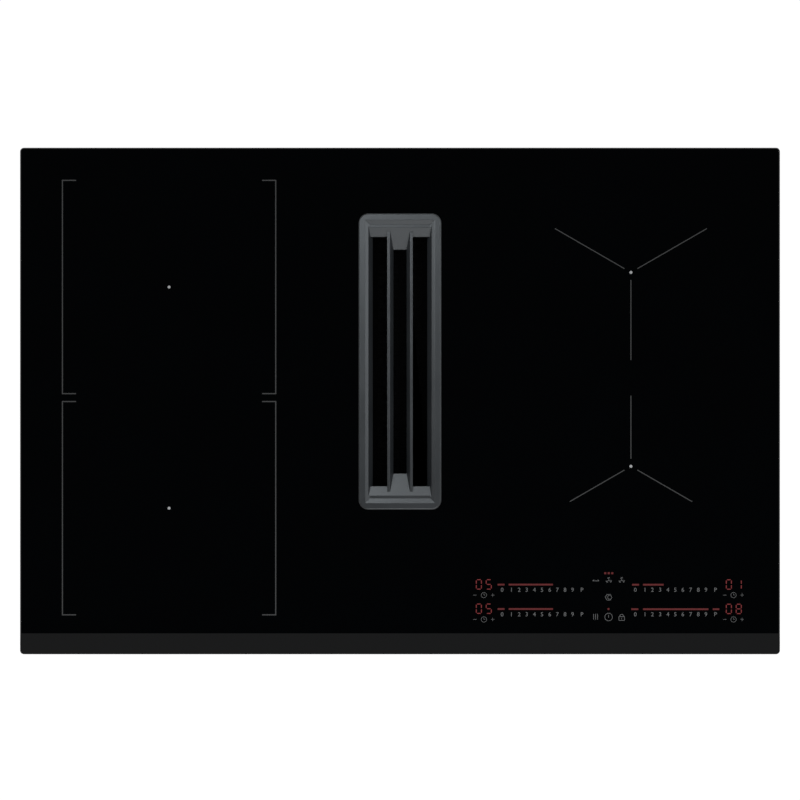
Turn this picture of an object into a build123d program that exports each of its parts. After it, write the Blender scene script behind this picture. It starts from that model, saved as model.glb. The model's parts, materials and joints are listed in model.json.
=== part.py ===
from build123d import *
import math
import os

# Built-in induction hob with a downdraft extractor in its middle.
# Frame: +X to the right, +Y to the rear, +Z up, all in millimetres.
# Origin: centre of the worktop cut-out, on the top face of the worktop.

# ---------------------------------------------------------------- glass plate
GLASS_WIDTH = 780.0
GLASS_DEPTH = 520.0
GLASS_THICKNESS = 4.0
GLASS_CORNER_RADIUS = 4.0
GLASS_EDGE_CHAMFER = 1.0
BEVEL_WIDTH = 21.5
BEVEL_DROP = 2.2
BUILD_HEIGHT = 210.0

# ------------------------------------------------- printed marks on the glass
PRINT_THICKNESS = 0.12
ZONE_LINE = 1.1
RAY_LINE = 0.9
DOT_RADIUS = 1.5
BRACKET_ARM = 14.5
RAY_START = 7.7

# -------------------------------------------------------------- cooking zones
LEFT_ZONE_WIDTH = 220.0
LEFT_ZONE_SIDE_MARGIN = 43.0
LEFT_ZONE_REAR_MARGIN = 33.0
LEFT_ZONE_FRONT_MARGIN = 40.0
LEFT_ZONE_GAP = 7.0
RIGHT_ZONE_SIDE_INSET = 153.0
REAR_ZONE_INSET = 128.0
FRONT_ZONE_INSET = 193.0
REAR_ZONE_RADIUS = 90.0
FRONT_ZONE_RADIUS = 72.5

# ---------------------------------------------------------- seal, frame, case
SEAL_THICKNESS = 2.0
SEAL_INSET = 3.0
SEAL_WIDTH = 9.0
CASE_INSET = 21.0
CASE_DEPTH = 52.0
CASE_SHEET = 1.0
CASE_CORNER_RADIUS = 6.0
CASE_TOP_GAP = 1.0
FRAME_SHEET = 1.0
FRAME_LEG = 14.0
FRAME_FLANGE = 12.0
FIT_GAP = 0.2
CLIP_WIDTH = 30.0
CLIP_BOW = 9.0
CLIP_FOOT = 12.0
CLIP_SILL = 4.0
CLIP_TOP_GAP = 7.0
CLIP_STEEL = 0.8
CLIP_SPACING = 280.0
SCREW_RADIUS = 2.0
SCREW_HEAD_RADIUS = 3.5
SCREW_HEAD_HEIGHT = 2.4
SCREW_REACH = 2.5
SIDE_SCREW_SPACING = 200.0
END_SCREW_SPACING = 500.0
RIVET_RADIUS = 1.6
RIVET_HEAD_RADIUS = 3.0
RIVET_HEAD_HEIGHT = 1.2
FLOOR_SLOT_COUNT = 5
FLOOR_SLOT_WIDTH = 5.0
FLOOR_SLOT_PITCH = 9.0
FLOOR_SLOT_INSET = 10.0
FLOOR_SLOT_GAP = 11.0
REAR_SLOT_COUNT = 7
REAR_SLOT_WIDTH = 5.0
REAR_SLOT_PITCH = 12.0
REAR_SLOT_HEIGHT = 22.0
REAR_SLOT_SILL = 8.0

# --------------------------------------------------------------------- grille
GRILLE_WIDTH = 85.0
GRILLE_LENGTH = 304.0
GRILLE_REAR_MARGIN = 67.5
GRILLE_CORNER_RADIUS = 10.0
RING_WIDTH = 9.5
RING_HEIGHT = 2.4
RING_CHAMFER = 1.3
RING_LIP = 2.8
RING_LIP_DROP = 1.4
RING_LAP = 4.0
GRILLE_DEPTH = 30.0
GRILLE_COLLAR = 6.0
GRILLE_FOOT_WALL = 2.4
SIDE_WALL_RUN = 5.0
MIDDLE_SCOOP_RUN = 27.5
SIDE_SCOOP_RUN = 14.5
SCOOP_SLOPE = 0.48
SCOOP_PLATE = 3.0
VANE_OFFSET = 12.6
VANE_TOP = 4.6
VANE_FOOT = 2.8
VANE_LEAN = 4.4
VANE_DROP = 4.2
PAD_THICKNESS = 0.6
PAD_LENGTH = 16.0
PAD_INSET = 0.5

# ------------------------------------------------------------ filter cassette
CASSETTE_GAP = 1.0
CASSETTE_HEADROOM = 2.0
CASSETTE_WALL = 2.0
CARBON_THICKNESS = 22.0
CARBON_CELL = 9.0
CARBON_PITCH = 12.0
CARBON_CLEARANCE = 0.4
CARBON_HEADROOM = 2.0
GUIDE_RIB = 5.0
BASKET_DEPTH = 20.0
BASKET_SHEET = 1.6
BASKET_GAP = 1.0
BASKET_HOLE = 9.0
BASKET_PITCH = 12.0
DRAIN_SLOT_WIDTH = 5.0
DRAIN_SLOT_LENGTH = 22.0
DRAIN_SLOT_PITCH = 36.0
DRAIN_SLOT_COUNT = 7
DRAIN_OFFSET = 15.0

# ----------------------------------------------------------------- intake box
INTAKE_GAP = 2.0
INTAKE_WALL = 2.5
INTAKE_FLANGE = 12.0
INTAKE_SEAL = 1.5
INTAKE_COLLAR = 9.0
LEDGE_WIDTH = 6.0
LEDGE_HEIGHT = 4.0
WINDOW_MARGIN = 14.0
WINDOW_SILL = 7.0
WINDOW_HEAD = 3.5
RAIL_LIP = 4.0
RAIL_LIP_HEIGHT = 3.0
DRAWER_HEIGHT = 25.0
DRAWER_GAP = 1.0
DRAWER_WALL = 2.0
DRAWER_PULL = 10.0
DRAWER_PULL_WIDTH = 40.0

# ------------------------------------------------------- fan housing and duct
HOUSING_WALL = 2.5
HOUSING_FLOOR = 3.0
VOLUTE_GAP = 17.0
VOLUTE_STEP = 13.0
TONGUE_ANGLE = 60.0
SCROLL_GAP = 18.0
SCROLL_RIM = 8.0
RIM_THICKNESS = 2.0
FAN_FORWARD_OF_INTAKE = 50.0
WINDOW_SEAL = 2.0
WINDOW_SEAL_WIDTH = 5.0
PLENUM_PAST_EYE = 11.5
PLENUM_END_MARGIN = 8.0
LID_LAP = 8.0
DUCT_WIDTH = 222.0
DUCT_HEIGHT = 89.0
DUCT_WALL = 2.0
DUCT_CORNER_RADIUS = 12.0
DUCT_SIDE_INSET = 134.0
SPIGOT_LENGTH = 28.0
SPIGOT_SETBACK = 4.0
DUCT_FLANGE = 12.0
DUCT_FLANGE_THICKNESS = 3.0

# -------------------------------------------------------------- fan and motor
IMPELLER_RADIUS = 95.0
EYE_RADIUS = 66.5
EYE_COLLAR = 7.0
BLADE_COUNT = 9
BLADE_THICKNESS = 2.4
BLADE_SWEEP = 42.0
BLADE_BELLY = 4.0
BLADE_DOME_GAP = 6.0
BLADE_RIM_MARGIN = 3.0
BACKPLATE_GAP = 11.0
BACKPLATE = 2.5
SHROUD_SKIN = 2.0
SHROUD_RISE = 9.0
SHROUD_DECK_GAP = 20.0
NOZZLE_GAP = 2.0
NOZZLE_LAP = 4.0
NOZZLE_FLANGE = 6.0
NOZZLE_FLANGE_THICKNESS = 1.5
NOZZLE_LEAD_IN = 1.5
MOTOR_RADIUS = 42.0
MOTOR_HEIGHT = 40.0
MOTOR_WALL = 2.0
MOTOR_GAP = 3.5
DOME_GAP = 1.5
HUB_RADIUS = 9.0
HUB_LENGTH = 8.0
MOUNT_PLATE = 1.5
MOUNT_RIM = 16.0
MOUNT_VENT_RADIUS = 4.0
GROMMET_HEIGHT = 4.0
GROMMET_RADIUS = 6.0
GROMMET_MARGIN = 2.0
GROMMET_COUNT = 3
SHAFT_RADIUS = 4.0
SHAFT_CLEARANCE = 0.05
SHAFT_END = 2.0
BEARING_RADIUS = 11.0
BEARING_HEIGHT = 7.0
BEARING_SEAT = 2.0
SHAFT_HOLE_RADIUS = 6.0
ROTOR_RADIUS = 23.2
STATOR_HEIGHT = 17.0
STATOR_SLOTS = 6
ROTOR_OVERHANG = 1.0
AIR_GAP = 0.8
NUT_HEIGHT = 5.0
NUT_RADIUS = 7.0

# ----------------------------------------------------------------- coil stack
MICA_THICKNESS = 0.6
WINDING_THICKNESS = 5.0
WINDING_INSET = 7.0
WINDING_HOLE = 26.0
WINDING_CORNER_RADIUS = 52.0
TURN_PITCH = 4.5
TURN_GROOVE = 1.0
FORMER_THICKNESS = 2.0
FORMER_MARGIN = 2.0
FERRITE_THICKNESS = 5.0
FERRITE_WIDTH = 14.0
FERRITE_START = 28.0
FERRITE_COUNT = 8
CARRIER_SHEET = 1.2
CARRIER_SIDE_MARGIN = 17.0
CARRIER_END_MARGIN = 9.0
CARRIER_INNER_GAP = 15.0
CARRIER_HOLE_CIRCLE = 52.0
CARRIER_HOLE_RADIUS = 6.0
POST_RADIUS = 4.0
POST_MARGIN = 6.0
SENSOR_RADIUS = 4.5

# ---------------------------------------------------------------- electronics
BOARD_INNER_GAP = 9.0
BOARD_OUTER_GAP = 7.0
BOARD_REAR_MARGIN = 59.0
BOARD_DEPTH = 235.0
BOARD_THICKNESS = 1.6
SPACER_HEIGHT = 6.0
SPACER_RADIUS = 3.0
SPACER_MARGIN = 6.0
HEAT_SINK_WIDTH = 70.0
HEAT_SINK_LENGTH = 150.0
HEAT_SINK_HEIGHT = 24.0
HEAT_SINK_BASE = 4.0
FIN_COUNT = 15
FIN_THICKNESS = 1.4
CAPACITOR_RADIUS = 9.0
CAPACITOR_HEIGHT = 21.0
CAPACITOR_COUNT = 5
CAPACITOR_GAP = 36.0
CHOKE_RADIUS = 15.0
CHOKE_BORE = 7.0
CHOKE_HEIGHT = 13.0
CHOKE_COUNT = 3
CHOKE_GAP = 83.0
COMPONENT_PITCH = 36.0
BLOWER_SIZE = 92.0
BLOWER_HEIGHT = 26.0
BLOWER_WALL = 2.0
BLOWER_CAVITY_RADIUS = 41.0
BLOWER_INLET_RADIUS = 29.0
BLOWER_ROTOR_RADIUS = 36.0
BLOWER_BLADE_DEPTH = 7.0
BLOWER_BLADE_THICKNESS = 1.2
BLOWER_BLADES = 17
BLOWER_HUB_RADIUS = 10.0
BLOWER_DISC = 1.5
BLOWER_RUNNING_GAP = 1.5
BLOWER_FRONT_MARGIN = 24.0
BLOWER_POST_GAP = 31.0
PIN_RADIUS = 1.5
PIN_LENGTH = 12.0

# -------------------------------------------------------------- control panel
PANEL_SIDE_MARGIN = 31.0
PANEL_FRONT_MARGIN = 26.0
PANEL_WIDTH = 290.0
PANEL_DEPTH = 66.0
PANEL_BOARD = 1.6
PANEL_SHELL = 2.0
PANEL_FOOT_RADIUS = 4.0
DISPLAY_WIDTH = 23.0
DISPLAY_DEPTH = 16.0
DISPLAY_HEIGHT = 8.0
DISPLAY_END_MARGIN = 4.5
DISPLAY_FRONT_MARGIN = 20.0
DISPLAY_ROW_PITCH = 25.2
SLIDER_GUIDE_DEPTH = 4.0
SLIDER_GUIDE_GAP = 1.0
SLIDER_START_MARGIN = 35.5
SLIDER_END_MARGIN = 36.0
TOUCH_RADIUS = 3.0
TOUCH_WALL = 0.8
TOUCH_COUNT = 11
TOUCH_PITCH = 8.2
TOUCH_SETBACK = 6.0
MENU_TOUCH_PITCH = 13.3

# ----------------------------------------------------------- mains connection
TERMINAL_WIDTH = 60.0
TERMINAL_DEPTH = 30.0
TERMINAL_HEIGHT = 22.0
TERMINAL_REAR_MARGIN = 23.0
TERMINAL_POLES = 5
TERMINAL_SCREW_RADIUS = 3.0
TERMINAL_SCREW_DEPTH = 8.0
GLAND_SIDE_INSET = 64.0
GLAND_BORE = 5.5
GLAND_THREAD = 8.0
GLAND_COLLAR = 12.0
GLAND_OUTSIDE = 4.0
GLAND_INSIDE = 13.0
GLAND_NUT = 5.0

# ------------------------------------------------------------- derived levels
GLASS_UNDER = SEAL_THICKNESS
GLASS_TOP = GLASS_UNDER + GLASS_THICKNESS
BASE = GLASS_TOP - BUILD_HEIGHT
CASE_UNDER = GLASS_UNDER - CASE_DEPTH
CASE_FLOOR = CASE_UNDER + CASE_SHEET
CLIP_LOW = CASE_FLOOR + CLIP_SILL
CLIP_HIGH = GLASS_UNDER - CLIP_TOP_GAP
RIVET_Z = CLIP_LOW + CLIP_FOOT / 2
MICA_UNDER = GLASS_UNDER - MICA_THICKNESS
WINDING_UNDER = MICA_UNDER - WINDING_THICKNESS
FORMER_UNDER = WINDING_UNDER - FORMER_THICKNESS
FERRITE_UNDER = FORMER_UNDER - FERRITE_THICKNESS
CARRIER_UNDER = FERRITE_UNDER - CARRIER_SHEET
BOARD_UNDER = CASE_FLOOR + SPACER_HEIGHT
BOARD_TOP = BOARD_UNDER + BOARD_THICKNESS
RING_UNDER = GLASS_TOP + PAD_THICKNESS
RING_TOP = RING_UNDER + RING_HEIGHT
GRILLE_FOOT = GLASS_TOP - GRILLE_DEPTH
VANE_CREST = RING_TOP - VANE_DROP
SCROLL_FLOOR = BASE + HOUSING_FLOOR
SCROLL_TOP = SCROLL_FLOOR + DUCT_HEIGHT - 2 * DUCT_WALL
DECK_TOP = SCROLL_TOP + HOUSING_FLOOR
LID_UNDER = CASE_UNDER - HOUSING_WALL
CASSETTE_TOP = GRILLE_FOOT - CASSETTE_HEADROOM
CASSETTE_UNDER = DECK_TOP
CASSETTE_FLOOR = CASSETTE_UNDER + CASSETTE_WALL
LEDGE_UNDER = CASSETTE_UNDER - LEDGE_HEIGHT
BASKET_UNDER = CASSETTE_TOP - BASKET_DEPTH
CARBON_TOP = BASKET_UNDER - CARBON_HEADROOM
WINDOW_LOW = DECK_TOP + WINDOW_SILL
WINDOW_HIGH = LID_UNDER - WINDOW_HEAD
INTAKE_TOP = GLASS_UNDER - INTAKE_SEAL
DRAWER_UNDER = BASE + RAIL_LIP_HEIGHT
DRAWER_TOP = DRAWER_UNDER + DRAWER_HEIGHT
INTAKE_FLOOR_UNDER = DRAWER_TOP + DRAWER_GAP
INTAKE_FLOOR = INTAKE_FLOOR_UNDER + HOUSING_FLOOR
PANEL_BOARD_TOP = GLASS_UNDER - DISPLAY_HEIGHT
PANEL_BOARD_UNDER = PANEL_BOARD_TOP - PANEL_BOARD
PANEL_SHELL_UNDER = CARRIER_UNDER - PANEL_SHELL
MOUNT_PLATE_UNDER = SCROLL_FLOOR + GROMMET_HEIGHT
MOTOR_UNDER = MOUNT_PLATE_UNDER + MOUNT_PLATE
MOTOR_TOP = MOTOR_UNDER + MOTOR_HEIGHT
LOW_BEARING = MOTOR_UNDER + MOTOR_WALL
HIGH_BEARING = MOTOR_TOP - MOTOR_WALL - BEARING_HEIGHT
STATOR_UNDER = MOTOR_UNDER + (MOTOR_HEIGHT - STATOR_HEIGHT) / 2
BACKPLATE_UNDER = SCROLL_FLOOR + BACKPLATE_GAP
DOME_UNDER = MOTOR_TOP + DOME_GAP
HUB_TOP = DOME_UNDER + BACKPLATE + HUB_LENGTH
SHROUD_LOW = SCROLL_TOP - SHROUD_DECK_GAP
SHROUD_HIGH = SHROUD_LOW + SHROUD_RISE
EYE_TOP = SHROUD_HIGH + EYE_COLLAR
BLOWER_TOP = CASE_FLOOR + BLOWER_HEIGHT
GLAND_Z = (CASE_UNDER + GLASS_UNDER) / 2
PAST = 1.0  # how far a cutting tool runs past the face that it opens

# -------------------------------------------------------------- derived radii
OPENING_RADIUS = max(GRILLE_CORNER_RADIUS - RING_LAP, 1.0)
PLUG_RADIUS = max(OPENING_RADIUS - CASSETTE_GAP, 1.0)
TUB_RADIUS = max(PLUG_RADIUS - CASSETTE_WALL, 0.5)
VOLUTE_RADIUS = IMPELLER_RADIUS + VOLUTE_GAP
DOME_RADIUS = MOTOR_RADIUS + MOTOR_GAP
BLADE_INNER_RADIUS = DOME_RADIUS + BACKPLATE + BLADE_DOME_GAP
STATOR_RADIUS = ROTOR_RADIUS + AIR_GAP
MOUNT_RADIUS = MOTOR_RADIUS + MOUNT_RIM
NOZZLE_RADIUS = EYE_RADIUS - NOZZLE_GAP
NOZZLE_INSIDE = NOZZLE_RADIUS - HOUSING_WALL
GROMMET_CIRCLE = MOUNT_RADIUS - GROMMET_RADIUS - GROMMET_MARGIN


# ------------------------------------------------------------ plan rectangles
class Area:
    """A rectangle seen from above. Neighbours are worked out from it by a margin."""

    def __init__(self, x0, x1, y0, y1):
        self.x0, self.x1, self.y0, self.y1 = x0, x1, y0, y1

    @property
    def width(self):
        return self.x1 - self.x0

    @property
    def depth(self):
        return self.y1 - self.y0

    @property
    def cx(self):
        return (self.x0 + self.x1) / 2

    @property
    def cy(self):
        return (self.y0 + self.y1) / 2

    def grown(self, by):
        return Area(self.x0 - by, self.x1 + by, self.y0 - by, self.y1 + by)

    def mirrored(self):
        """The same rectangle on the other side of the X = 0 plane."""
        return Area(-self.x1, -self.x0, self.y0, self.y1)

    def corners(self):
        return [(x, y) for x in (self.x0, self.x1) for y in (self.y0, self.y1)]

    def face(self, z, radius=0.0):
        if radius > 0:
            return Pos(self.cx, self.cy, z) * RectangleRounded(self.width, self.depth, radius)
        return Pos(self.cx, self.cy, z) * Rectangle(self.width, self.depth)

    def slab(self, z0, z1, radius=0.0):
        """A solid of this outline between two levels, with rounded upright edges."""
        return extrude(self.face(z0, radius), z1 - z0, dir=(0, 0, 1))

    def ring(self, width, z0, z1, radius=0.0):
        """A frame inside this outline, with the given bar width."""
        hole = self.grown(-width).slab(z0 - PAST, z1 + PAST, max(radius - width, 0.0))
        return self.slab(z0, z1, radius) - hole


def centred(width, depth, x=0.0, y=0.0):
    return Area(x - width / 2, x + width / 2, y - depth / 2, y + depth / 2)


GLASS = centred(GLASS_WIDTH, GLASS_DEPTH)
CASE = GLASS.grown(-CASE_INSET)
CASE_INSIDE = CASE.grown(-CASE_SHEET)
FRAME = CASE_INSIDE.grown(-FIT_GAP)
GRILLE_Y = GLASS.y1 - GRILLE_REAR_MARGIN - GRILLE_LENGTH / 2
GRILLE = centred(GRILLE_WIDTH, GRILLE_LENGTH, 0.0, GRILLE_Y)
OPENING = GRILLE.grown(-RING_LAP)
INTAKE_INSIDE = OPENING.grown(INTAKE_GAP)
INTAKE = INTAKE_INSIDE.grown(INTAKE_WALL)
CASSETTE = OPENING.grown(-CASSETTE_GAP)
CASSETTE_INSIDE = CASSETTE.grown(-CASSETTE_WALL)
BASKET = CASSETTE_INSIDE.grown(-BASKET_GAP)
CARBON = Area(
    CASSETTE_INSIDE.x1 - CARBON_CLEARANCE - CARBON_THICKNESS,
    CASSETTE_INSIDE.x1 - CARBON_CLEARANCE,
    CASSETTE_INSIDE.y0 + CARBON_CLEARANCE,
    CASSETTE_INSIDE.y1 - CARBON_CLEARANCE,
)
FAN_X = INTAKE.x1 + SCROLL_GAP + HOUSING_WALL + VOLUTE_RADIUS + VOLUTE_STEP / 2
FAN_Y = INTAKE.cy - FAN_FORWARD_OF_INTAKE
PLENUM = Area(
    INTAKE.x1 + WINDOW_SEAL,
    FAN_X + EYE_RADIUS + PLENUM_PAST_EYE,
    INTAKE.y0 + PLENUM_END_MARGIN,
    INTAKE.y1 - PLENUM_END_MARGIN,
)
SPIGOT_END = GLASS.y1 - SPIGOT_SETBACK
SCROLL_END = SPIGOT_END - SPIGOT_LENGTH
DUCT_X = CASE.x1 - DUCT_SIDE_INSET
DUCT_Z = SCROLL_FLOOR - DUCT_WALL + DUCT_HEIGHT / 2
DUCT_INSIDE_HALF = DUCT_WIDTH / 2 - DUCT_WALL

ZONE_DEPTHS = GLASS_DEPTH - LEFT_ZONE_REAR_MARGIN - LEFT_ZONE_FRONT_MARGIN - LEFT_ZONE_GAP
LEFT_ZONE_DEPTH = ZONE_DEPTHS / 2
LEFT_X = GLASS.x0 + LEFT_ZONE_SIDE_MARGIN + LEFT_ZONE_WIDTH / 2
LEFT_REAR_Y = GLASS.y1 - LEFT_ZONE_REAR_MARGIN - LEFT_ZONE_DEPTH / 2
LEFT_FRONT_Y = GLASS.y0 + LEFT_ZONE_FRONT_MARGIN + LEFT_ZONE_DEPTH / 2
LEFT_REAR_ZONE = centred(LEFT_ZONE_WIDTH, LEFT_ZONE_DEPTH, LEFT_X, LEFT_REAR_Y)
LEFT_FRONT_ZONE = centred(LEFT_ZONE_WIDTH, LEFT_ZONE_DEPTH, LEFT_X, LEFT_FRONT_Y)
RIGHT_REAR_ZONE = (GLASS.x1 - RIGHT_ZONE_SIDE_INSET, GLASS.y1 - REAR_ZONE_INSET, REAR_ZONE_RADIUS)
RIGHT_FRONT_ZONE = (GLASS.x1 - RIGHT_ZONE_SIDE_INSET, GLASS.y0 + FRONT_ZONE_INSET, FRONT_ZONE_RADIUS)
LEFT_CENTRES = [(LEFT_X, LEFT_REAR_Y), (LEFT_X, LEFT_FRONT_Y)]
RIGHT_CENTRES = [RIGHT_REAR_ZONE[:2], RIGHT_FRONT_ZONE[:2]]
ZONE_CENTRES = LEFT_CENTRES + RIGHT_CENTRES
ZONE_REACHES = [LEFT_ZONE_WIDTH / 2, LEFT_ZONE_WIDTH / 2, REAR_ZONE_RADIUS, FRONT_ZONE_RADIUS]

PANEL = Area(
    GLASS.x1 - PANEL_SIDE_MARGIN - PANEL_WIDTH,
    GLASS.x1 - PANEL_SIDE_MARGIN,
    GLASS.y0 + PANEL_FRONT_MARGIN,
    GLASS.y0 + PANEL_FRONT_MARGIN + PANEL_DEPTH,
)
DISPLAY_ROWS = [PANEL.y0 + DISPLAY_FRONT_MARGIN + i * DISPLAY_ROW_PITCH for i in range(2)]
DISPLAY_INSET = DISPLAY_END_MARGIN + DISPLAY_WIDTH / 2
DISPLAY_COLUMNS = [PANEL.x0 + DISPLAY_INSET, PANEL.x1 - DISPLAY_INSET]
SLIDER_LENGTH = (TOUCH_COUNT - 1) * TOUCH_PITCH
SLIDER_STARTS = [PANEL.x0 + SLIDER_START_MARGIN, PANEL.x1 - SLIDER_END_MARGIN - SLIDER_LENGTH]
MENU_X = (SLIDER_STARTS[0] + SLIDER_LENGTH + SLIDER_STARTS[1]) / 2

CARRIER_INNER = INTAKE.x1 + INTAKE_FLANGE + CARRIER_INNER_GAP
RIGHT_CARRIER = Area(
    CARRIER_INNER,
    CASE_INSIDE.x1 - CARRIER_SIDE_MARGIN,
    PANEL.y1 + CARRIER_INNER_GAP,
    CASE_INSIDE.y1 - CARRIER_END_MARGIN,
)
LEFT_CARRIER = Area(
    CASE_INSIDE.x0 + CARRIER_SIDE_MARGIN,
    -CARRIER_INNER,
    CASE_INSIDE.y0 + CARRIER_END_MARGIN,
    CASE_INSIDE.y1 - CARRIER_END_MARGIN,
)
BETWEEN_POSTS = RIGHT_CARRIER.grown(-POST_MARGIN - POST_RADIUS)
RIGHT_BOARD = Area(
    BETWEEN_POSTS.x0 + BOARD_INNER_GAP,
    BETWEEN_POSTS.x1 - BOARD_OUTER_GAP,
    CASE_INSIDE.y1 - BOARD_REAR_MARGIN - BOARD_DEPTH,
    CASE_INSIDE.y1 - BOARD_REAR_MARGIN,
)
RIGHT_BLOWER = Area(
    BETWEEN_POSTS.x0 + BLOWER_POST_GAP,
    BETWEEN_POSTS.x0 + BLOWER_POST_GAP + BLOWER_SIZE,
    CASE_INSIDE.y0 + BLOWER_FRONT_MARGIN,
    CASE_INSIDE.y0 + BLOWER_FRONT_MARGIN + BLOWER_SIZE,
)
LEFT_BOARD = RIGHT_BOARD.mirrored()
LEFT_BLOWER = RIGHT_BLOWER.mirrored()
GLAND_X = CASE.x0 + GLAND_SIDE_INSET


# --------------------------------------------------------------- basic solids
def box(x0, x1, y0, y1, z0, z1):
    return Area(x0, x1, y0, y1).slab(z0, z1)


def rod(x, y, z0, z1, radius):
    """An upright round bar."""
    return Pos(x, y, z0) * extrude(Circle(radius), z1 - z0, dir=(0, 0, 1))


def tube(x, y, z0, z1, outer, inner):
    return Pos(x, y, z0) * extrude(Circle(outer) - Circle(inner), z1 - z0, dir=(0, 0, 1))


def rod_along_x(x0, x1, y, z, radius):
    bar = extrude(Plane.YZ * Circle(radius), abs(x1 - x0), dir=(1, 0, 0))
    return Pos(min(x0, x1), y, z) * bar


def rod_along_y(x, y0, y1, z, radius):
    bar = extrude(Plane.XZ * Circle(radius), abs(y1 - y0), dir=(0, 1, 0))
    return Pos(x, min(y0, y1), z) * bar


def prism_along_x(outline, x0, x1):
    """A bar whose section is an outline of (y, z) points."""
    return Pos(x0, 0, 0) * extrude(Plane.YZ * Polygon(*outline, align=None), x1 - x0, dir=(1, 0, 0))


def prism_along_y(outline, y0, y1):
    """A bar whose section is an outline of (x, z) points."""
    return Pos(0, y0, 0) * extrude(Plane.XZ * Polygon(*outline, align=None), y1 - y0, dir=(0, 1, 0))


def taper(low, z0, high, z1, radius=0.0):
    """A solid with flat sides between two rectangles at two levels."""
    return loft([low.face(z0, radius), high.face(z1, radius)], ruled=True)


def turned(outline):
    """A solid turned about the upright axis from an outline of (radius, z) points."""
    return revolve(Plane.XZ * Polygon(*outline, align=None), Axis.Z)


def polar(radius, degrees, x=0.0, y=0.0):
    angle = math.radians(degrees)
    return x + radius * math.cos(angle), y + radius * math.sin(angle)


def around(count, radius, x, y, start=0.0):
    """Evenly spaced places on a circle."""
    return [polar(radius, start + i * 360 / count, x, y) for i in range(count)]


def spread(count, pitch, middle=0.0):
    """Evenly spaced places on a line, centred on the middle."""
    return [middle + (i - (count - 1) / 2) * pitch for i in range(count)]


def fitting(length, pitch):
    """How many copies of a pattern fit in a length."""
    return max(int(length / pitch + 1e-6), 1)


def joined(solids):
    return solids[0] + solids[1:]


def group(solids):
    """Separate solids that share one node."""
    return Compound(children=[piece for solid in solids for piece in solid.solids()])


# ---------------------------------------------------------- glass and its print
def glass_top():
    plate = GLASS.slab(GLASS_UNDER, GLASS_TOP, GLASS_CORNER_RADIUS)
    plate = chamfer(plate.faces().sort_by(Axis.Z)[-1].edges(), GLASS_EDGE_CHAMFER)
    slope = BEVEL_DROP / BEVEL_WIDTH
    bevel = [
        (GLASS.y0 - PAST, GLASS_TOP - BEVEL_DROP - slope * PAST),
        (GLASS.y0 + BEVEL_WIDTH, GLASS_TOP),
        (GLASS.y0 + BEVEL_WIDTH, GLASS_TOP + PAST),
        (GLASS.y0 - PAST, GLASS_TOP + PAST),
    ]
    plate -= prism_along_x(bevel, GLASS.x0 - PAST, GLASS.x1 + PAST)
    return plate - OPENING.slab(GLASS_UNDER - PAST, GLASS_TOP + PAST, OPENING_RADIUS)


def bracket(zone, side):
    """The printed mark beside a left zone: a long line with a short arm at each end."""
    edge = zone.x0 if side < 0 else zone.x1
    line = sorted((edge, edge - side * ZONE_LINE))
    arm = sorted((edge, edge - side * BRACKET_ARM))
    z0, z1 = GLASS_TOP, GLASS_TOP + PRINT_THICKNESS
    upright = box(line[0], line[1], zone.y0, zone.y1, z0, z1)
    low_arm = box(arm[0], arm[1], zone.y0, zone.y0 + ZONE_LINE, z0, z1)
    high_arm = box(arm[0], arm[1], zone.y1 - ZONE_LINE, zone.y1, z0, z1)
    return joined([upright, low_arm, high_arm])


def rays(zone, first):
    """Three printed lines that run out from the middle of a right zone."""
    x, y, reach = zone
    line = Area(RAY_START, reach, -RAY_LINE / 2, RAY_LINE / 2)
    bar = line.slab(GLASS_TOP, GLASS_TOP + PRINT_THICKNESS)
    return [Pos(x, y, 0) * Rot(0, 0, first + i * 120) * bar for i in range(3)]


def zone_marks():
    marks = [bracket(zone, side) for zone in (LEFT_REAR_ZONE, LEFT_FRONT_ZONE) for side in (-1, 1)]
    marks += [rod(x, y, GLASS_TOP, GLASS_TOP + PRINT_THICKNESS, DOT_RADIUS) for x, y in ZONE_CENTRES]
    return group(marks + rays(RIGHT_REAR_ZONE, 30) + rays(RIGHT_FRONT_ZONE, 90))


# -------------------------------------------------------- seal, frame and case
def worktop_seal():
    return GLASS.grown(-SEAL_INSET).ring(SEAL_WIDTH, 0.0, GLASS_UNDER, GLASS_CORNER_RADIUS)


def case_screw_places():
    """Where the case is screwed to the frame: a place on the case, and which way is out."""
    z = GLASS_UNDER - FRAME_LEG / 2
    sides = [(side * CASE.x1, y, z, side, 0) for side in (-1, 1) for y in spread(3, SIDE_SCREW_SPACING)]
    ends = [(x, side * CASE.y1, z, 0, side) for side in (-1, 1) for x in spread(2, END_SCREW_SPACING)]
    return sides + ends


def case_screw_shank(x, y, z, out_x, out_y):
    reach = CASE_SHEET + FIT_GAP + FRAME_SHEET + SCREW_REACH
    if out_x:
        return rod_along_x(x, x - out_x * reach, y, z, SCREW_RADIUS)
    return rod_along_y(x, y, y - out_y * reach, z, SCREW_RADIUS)


def case_screw_head(x, y, z, out_x, out_y):
    if out_x:
        return rod_along_x(x, x + out_x * SCREW_HEAD_HEIGHT, y, z, SCREW_HEAD_RADIUS)
    return rod_along_y(x, y, y + out_y * SCREW_HEAD_HEIGHT, z, SCREW_HEAD_RADIUS)


def case_screw_holes():
    return [case_screw_shank(*place) for place in case_screw_places()]


def case_screws():
    return group([case_screw_shank(*place) + case_screw_head(*place) for place in case_screw_places()])


def glass_frame():
    """Angle frame bonded under the glass, which the case is screwed to."""
    radius = max(CASE_CORNER_RADIUS - CASE_SHEET - FIT_GAP, 1.0)
    flange = FRAME.ring(FRAME_FLANGE, GLASS_UNDER - FRAME_SHEET, GLASS_UNDER, radius)
    leg = FRAME.ring(FRAME_SHEET, GLASS_UNDER - FRAME_LEG, GLASS_UNDER, radius)
    return joined([flange, leg]) - case_screw_holes()


def clip_places():
    """Where the spring clips sit on the case: the side, and the place along it."""
    return [(side, y) for side in (-1, 1) for y in spread(2, CLIP_SPACING)]


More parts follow.
